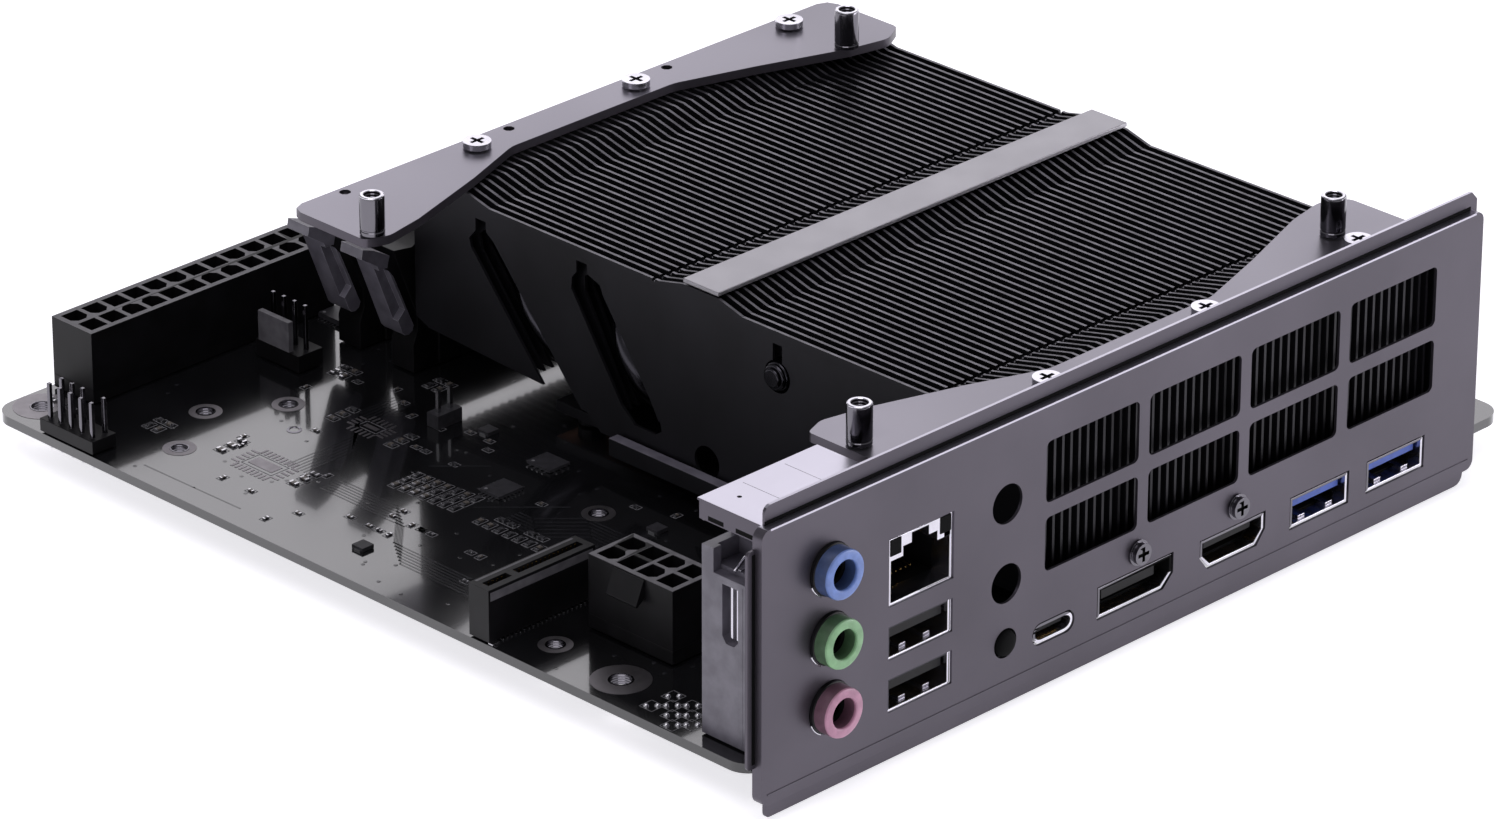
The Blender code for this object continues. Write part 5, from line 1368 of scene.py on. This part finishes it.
class MOTHERBOARD_OT_brackets(bpy.types.Operator):
    """The centre bar, both fan brackets and the four fan pillars"""
    bl_idname = "motherboard.brackets"
    bl_label = "Brackets and pillars"

    def execute(self, context):
        bar = Shape()
        bar.copy("centre_bar")
        bar.finish("centre_bar_rounded", ["bar"], "centre_bar", bevel=0.12)
        for node in ("bracket_front", "bracket_far"):
            shape = Shape()
            shape.copy(node)
            bmesh.ops.recalc_face_normals(shape.mesh, faces=shape.mesh.faces)
            # The side faces take the darker shield lacquer as painted shade on the pale sheet.
            for side in shape.mesh.faces:
                if abs(side.normal.z) < 0.5:
                    side.material_index = 1
            shape.finish(node + "_pressed", ["bracket", "shield"], node, bevel=0.12)
        for index in range(1, 5):
            node = f"fan_pillar_{index}"
            low, high = span(node)
            at = ((low.x + high.x) / 2, (low.y + high.y) / 2)
            shape = Shape()
            shape.turned(at, [(0, low.z), (2.0, low.z), (2.0, low.z + 0.5), (1.9, low.z + 0.62), (1.9, low.z + 0.8),
                              (2.0, low.z + 0.92), (2.0, high.z - 0.45), (1.93, high.z - 0.2)], steps=48)
            # A bright plated ring on the top, as a painted highlight.
            shape.turned(at, [(1.93, high.z - 0.25), (1.93, high.z - 0.1), (1.78, high.z), (1.4, high.z),
                              (1.3, high.z - 0.1), (1.5, high.z - 0.3)], paint=1, steps=48)
            shape.turned(at, [(1.5, high.z - 0.3), (1.25, high.z - 0.25), (1.25, high.z - 5.4), (1.5, high.z - 5.4)],
                         steps=48)
            for z in spread(high.z - 5.0, high.z - 0.6, 10):
                shape.turned(at, [(1.27, z - 0.16), (1.14, z), (1.27, z + 0.16)], steps=32)
            # A black disc at the bottom of the bore, as painted shade.
            shape.turned(at, [(0, high.z - 5.3), (1.4, high.z - 5.3), (1.4, high.z - 5.2), (0, high.z - 5.2)], paint=2,
                         steps=24)
            shape.finish(node + "_turned", ["nickel", "plated", "black_and_shade"], node, smooth=30)
        return {"FINISHED"}


class MOTHERBOARD_OT_power(bpy.types.Operator):
    """The main and processor power sockets: square and chamfered cells with a pin in each"""
    bl_idname = "motherboard.power"
    bl_label = "Power sockets"

    def execute(self, context):
        for node, (count, (x0, y0)) in POWER_SOCKETS.items():
            x1 = x0 + count[0] * CELL_PITCH + 2 * CELL_WALL
            y1 = y0 + count[1] * CELL_PITCH + 2 * CELL_WALL
            bottom, floor = 0.3, 2.6
            cells, pins = [], []
            for i in range(count[0]):
                for j in range(count[1]):
                    x = x0 + CELL_WALL + (i + 0.5) * CELL_PITCH
                    y = y0 + CELL_WALL + (j + 0.5) * CELL_PITCH
                    half = CELL_SIDE / 2
                    corners = [0.0] * 4
                    if (i * 3 + j * 2) % 4 in (1, 2):
                        corners = [0.9, 0.9, 0.0, 0.0] if j % 2 else [0.0, 0.0, 0.9, 0.9]
                    cells.append(rounded(rectangle(x - half, y - half, x + half, y + half), corners, 1))
                    pins.append((x, y))
            shape = Shape()
            shape.box((x0, y0, bottom), (x1, y1, floor))
            shape.sheet([rectangle(x0, y0, x1, y1)] + cells, "z", floor - 0.1, POWER_TOP)
            # The top faces take the grey finish as painted sheen.
            for face in shape.mesh.faces:
                if face.calc_center_median().z > POWER_TOP - 0.01:
                    face.material_index = 1
            if node == "atx_power_24":
                middle = x0 + CELL_WALL + 6 * CELL_PITCH
                tab = [(y1 - 0.3, 7.0), (y1 + 0.9, 8.2), (y1 + 0.9, 10.4), (y1 - 0.3, 10.8)]
                shape.sheet([tab], "x", middle - 3, middle + 3)
            else:
                middle = y0 + CELL_WALL + 2 * CELL_PITCH
                tab = [(x0 + 0.3, 12.4), (x0 - 0.3, 12.4), (x0 - 1.9, 8.6), (x0 - 1.6, 8.2), (x0 + 0.3, 9.6)]
                shape.sheet([tab], "y", middle - 3.2, middle + 3.2)
            for x, y in pins:
                shape.box((x - 0.55, y - 0.55, floor - 0.2), (x + 0.55, y + 0.55, 9.2), 2)
            shape.finish(node + "_housing", ["nylon", "strip", "gold"], node, bevel=0.14)
        return {"FINISHED"}


class MOTHERBOARD_OT_headers(bpy.types.Operator):
    """The pin headers and the upright card socket"""
    bl_idname = "motherboard.headers"
    bl_label = "Headers"

    def execute(self, context):
        for node, base in (("front_panel_header", 2.5), ("fan_header", 3.2)):
            shape = Shape()
            shape.copy(node)
            low, high = span(node)
            for face in shape.mesh.faces:
                at = face.calc_center_median()
                # The fan header's tab takes the grey finish as painted sheen.
                is_tab = node == "fan_header" and at.x < low.x + 1.3
                if at.z > base + 0.2:
                    face.material_index = 2 if is_tab else 1
            shape.finish(node + "_pins", ["nylon", "nickel", "strip"], node, bevel=0.08)
        low, high = span("upright_card_socket")
        card = Shape()
        card.copy("upright_card_socket")
        # Two grey bands near the top, on the front and on the top face, as painted sheen.
        card.box((low.x + 0.4, low.y - 0.04, high.z - 1.9), (high.x - 0.4, low.y + 0.1, high.z - 0.5), 1)
        card.box((low.x + 1.0, high.y - 0.7, high.z - 0.02), (high.x - 1.0, high.y - 0.25, high.z + 0.03), 1)
        for x in spread(low.x + 1.6, high.x - 1.6, 22):
            card.box((x - 0.12, low.y - 0.5, 0.0), (x + 0.12, low.y + 0.4, 0.22), 2)
            card.box((x - 0.12, high.y - 1.75, high.z - 3.0), (x + 0.12, high.y - 1.55, high.z - 0.3), 3)
        for x in (low.x, high.x - 1.2):
            card.box((x, low.y - 0.8, 0.0), (x + 1.2, low.y + 0.2, 0.3), 2)
        card.finish("upright_card_housing", ["nylon", "strip", "solder", "gold"], "upright_card_socket", bevel=0.12)
        return {"FINISHED"}


class MOTHERBOARD_OT_memory(bpy.types.Operator):
    """Both memory sockets with their contacts, and the levers at their ends"""
    bl_idname = "motherboard.memory"
    bl_label = "Memory sockets"

    def execute(self, context):
        for row in ("1", "2"):
            node = "memory_socket_" + row
            low, high = span(node)
            middle = (low.y + high.y) / 2
            shape = Shape()
            shape.copy(node)
            for x in spread(64.0, 130.0, 56):
                if not 97.8 < x < 100.4:
                    for side in (-1, 1):
                        y = middle + side * 0.75
                        shape.box((x - 0.22, y - 0.12, 4.5), (x + 0.22, y + 0.12, 8.5), 1)
            shape.finish(node + "_housing", ["nylon", "gold"], node, bevel=0.14)
            for side in ("left", "right"):
                node = f"memory_lever_{row}_{side}"
                lever = Shape()
                lever.copy(node)
                # The levers' bevels take the pale edge finish as a painted highlight.
                lever.finish(node + "_moulded", ["lever", "lever_highlight"], node, bevel=0.28, segments=3, edge_paint=1)
        return {"FINISHED"}


class MOTHERBOARD_OT_card_slot(bpy.types.Operator):
    """The expansion slot with its contacts and end latch"""
    bl_idname = "motherboard.card_slot"
    bl_label = "Expansion slot"

    def execute(self, context):
        low, high = span("card_slot_x16")
        middle = (low.x + high.x) / 2
        shape = Shape()
        shape.copy("card_slot_x16")
        for y in spread(low.y + 2.2, high.y - 2.4, 82):
            if not low.y + 12 < y < low.y + 14.6:
                for side in (-1, 1):
                    x = middle + side * 0.85
                    shape.box((x - 0.1, y - 0.2, 6.0), (x + 0.1, y + 0.2, 10.8), 1)
        shape.finish("card_slot_housing", ["nylon", "gold"], "card_slot_x16", bevel=0.14)
        latch = Shape()
        latch.copy("card_slot_latch")
        latch.finish("card_slot_latch_moulded", ["lever"], "card_slot_latch", bevel=0.2, segments=3)
        return {"FINISHED"}


class MOTHERBOARD_OT_solder(bpy.types.Operator):
    """Soldered pins and small parts under the board"""
    bl_idname = "motherboard.solder"
    bl_label = "Solder joints"

    def execute(self, context):
        tall = context.scene.motherboard_sizes.solder_height / MM
        joints = []
        first = CELL_WALL + CELL_PITCH / 2
        for (nx, ny), (x0, y0) in POWER_SOCKETS.values():
            joints += [(x0 + first + i * CELL_PITCH, y0 + first + j * CELL_PITCH, 1.1)
                       for i in range(nx) for j in range(ny)]
        for y in (134.6, 147.25):
            joints += [(x, y + (i % 2 * 2 - 1) * 1.1, 0.5) for i, x in enumerate(spread(62.0, 132.0, 60))]
        joints += [(162.5 + (i % 2 * 2 - 1) * 1.0, y, 0.5) for i, y in enumerate(spread(48.0, 133.0, 64))]
        for low, high in (((25, 3), (37, 18)), ((55.5, 0.8), (63, 6)), ((70, 2), (84, 12)), ((93, 2), (105, 12)),
                          ((114, 2), (125, 12)), ((132, 2), (143, 12)), ((5, 2), (18, 11))):
            for x in spread(low[0], high[0], 6):
                for y in spread(low[1], high[1], 3):
                    joints.append((x, y, 0.6))
        joints += [(1.3 + i * 2.54, 146.7 + j * 2.54, 0.6) for i in range(2) for j in range(5)]
        joints += [(45.9, 146.2 + j * 2.54, 0.6) for j in range(4)]
        base = UNDERSIDE
        shape = Shape()
        for x, y, r in joints:
            shape.turned((x, y), [(0, base + 0.02), (r, base + 0.02), (r * 0.72, base - tall * 0.35),
                                  (r * 0.42, base - tall * 0.75), (r * 0.3, base - tall), (0, base - tall)], steps=12)
        rng = random.Random(context.scene.motherboard_sizes.scatter_seed + 2)
        for _ in range(150):
            x, y = rng.uniform(24, 154), rng.uniform(20, 128)
            if 49 < x < 131 and 42 < y < 112:
                continue
            if clear_of_holes(x, y, 6.4):
                x, y = round(x / 2.6) * 2.6, round(y / 2.4) * 2.4
                shape.box((x - 0.8, y - 0.42, base - 0.5), (x + 0.8, y + 0.42, base - 0.02), 1)
                for way in (-1, 1):
                    a, b = sorted((x + way * 0.82, x + way * 0.45))
                    shape.box((a, y - 0.45, base - 0.53), (b, y + 0.45, base), 0)
        shape.finish("solder_joints", ["solder", "ceramic"], smooth=50)
        return {"FINISHED"}


class MOTHERBOARD_OT_stage(bpy.types.Operator):
    """The pale floor, soft studio lights and the camera"""
    bl_idname = "motherboard.stage"
    bl_label = "Stage"

    def execute(self, context):
        scene = context.scene
        size = scene.motherboard_sizes.floor_size
        mesh = bpy.data.meshes.new("floor")
        plane = bmesh.new()
        bmesh.ops.create_grid(plane, x_segments=4, y_segments=4, size=size / 2)
        plane.to_mesh(mesh)
        plane.free()
        mesh.materials.append(FINISHES["floor"])
        floor = bpy.data.objects.new("floor", mesh)
        floor.location = (0, 0, CAD_BOX[0].z - 0.0004)
        scene.collection.objects.link(floor)

        camera = bpy.data.objects.new("camera", bpy.data.cameras.new("camera"))
        camera.data.lens = scene.motherboard_sizes.lens
        camera.data.sensor_width = 36
        camera.data.clip_end = 100
        azimuth, elevation, roll = -45.084, 25.634, 0.07
        back = look_at(azimuth, elevation)
        right = Vector((0, 0, 1)).cross(back).normalized()
        up = back.cross(right)
        turn = Matrix((right, up, back)).transposed().to_4x4()
        place = Matrix.Translation((-0.764255, -0.76033, 0.52611))
        camera.matrix_world = place @ turn @ Matrix.Rotation(math.radians(roll), 4, "Z")
        scene.collection.objects.link(camera)
        scene.camera = camera

        target = Vector((0, 0, 0.02))
        lights = (
            ("back_softbox", look_at(134.9, 27.0), 1.25, (1.4, 0.62), 3.6),
            ("overhead_softbox", look_at(-60.0, 70.0), 1.4, (1.0, 1.0), 6.0),
            ("rear_softbox", look_at(43.0, 4.0), 0.6, (0.3, 0.2), 1.3),
            ("left_softbox", look_at(-95.0, 30.0), 1.8, (0.6, 0.6), 2.0),
        )
        for name, way, distance, (wide, high), power in lights:
            light = bpy.data.lights.new(name, "AREA")
            light.shape = "RECTANGLE"
            light.size, light.size_y = wide, high
            light.energy = power
            light.color = (0.98, 0.955, 1.0)
            lamp = bpy.data.objects.new(name, light)
            lamp.location = target + way * distance
            lamp.rotation_euler = way.to_track_quat("Z", "Y").to_euler()
            scene.collection.objects.link(lamp)

        world = bpy.data.worlds.new("studio")
        world.use_nodes = True
        back_tone = world.node_tree.nodes["Background"]
        back_tone.inputs["Color"].default_value = (0.93, 0.93, 0.97, 1.0)
        back_tone.inputs["Strength"].default_value = 0.3
        scene.world = world
        scene.view_settings.view_transform = "Standard"
        return {"FINISHED"}


class MOTHERBOARD_PT_panel(bpy.types.Panel):
    """Lists the pieces and their settings"""
    bl_idname = "MOTHERBOARD_PT_panel"
    bl_label = "Motherboard"
    bl_space_type = "VIEW_3D"
    bl_region_type = "UI"
    bl_category = "Motherboard"

    def draw(self, context):
        for group in (context.scene.motherboard_finishes, context.scene.motherboard_sizes):
            for name in group.__annotations__:
                self.layout.prop(group, name)
        for operator in PIECES:
            self.layout.operator(operator.bl_idname)


PIECES = (
    MOTHERBOARD_OT_board, MOTHERBOARD_OT_surface_parts, MOTHERBOARD_OT_shield, MOTHERBOARD_OT_audio,
    MOTHERBOARD_OT_network, MOTHERBOARD_OT_sockets, MOTHERBOARD_OT_screws, MOTHERBOARD_OT_button,
    MOTHERBOARD_OT_cover, MOTHERBOARD_OT_fins, MOTHERBOARD_OT_pipes, MOTHERBOARD_OT_cold_plate,
    MOTHERBOARD_OT_brackets, MOTHERBOARD_OT_power, MOTHERBOARD_OT_headers, MOTHERBOARD_OT_memory,
    MOTHERBOARD_OT_card_slot, MOTHERBOARD_OT_solder, MOTHERBOARD_OT_stage,
)
CLASSES = (MotherboardFinishes, MotherboardSizes, *PIECES, MOTHERBOARD_PT_panel)


def register():
    for item in CLASSES:
        bpy.utils.register_class(item)
    bpy.types.Scene.motherboard_finishes = bpy.props.PointerProperty(type=MotherboardFinishes)
    bpy.types.Scene.motherboard_sizes = bpy.props.PointerProperty(type=MotherboardSizes)


def unregister():
    del bpy.types.Scene.motherboard_sizes
    del bpy.types.Scene.motherboard_finishes
    for item in reversed(CLASSES):
        bpy.utils.unregister_class(item)


def main():
    register()
    make_finishes(bpy.context.scene.motherboard_finishes)
    for operator in PIECES:
        group, name = operator.bl_idname.split(".")
        getattr(getattr(bpy.ops, group), name)()


if __name__ == "__main__":
    main()
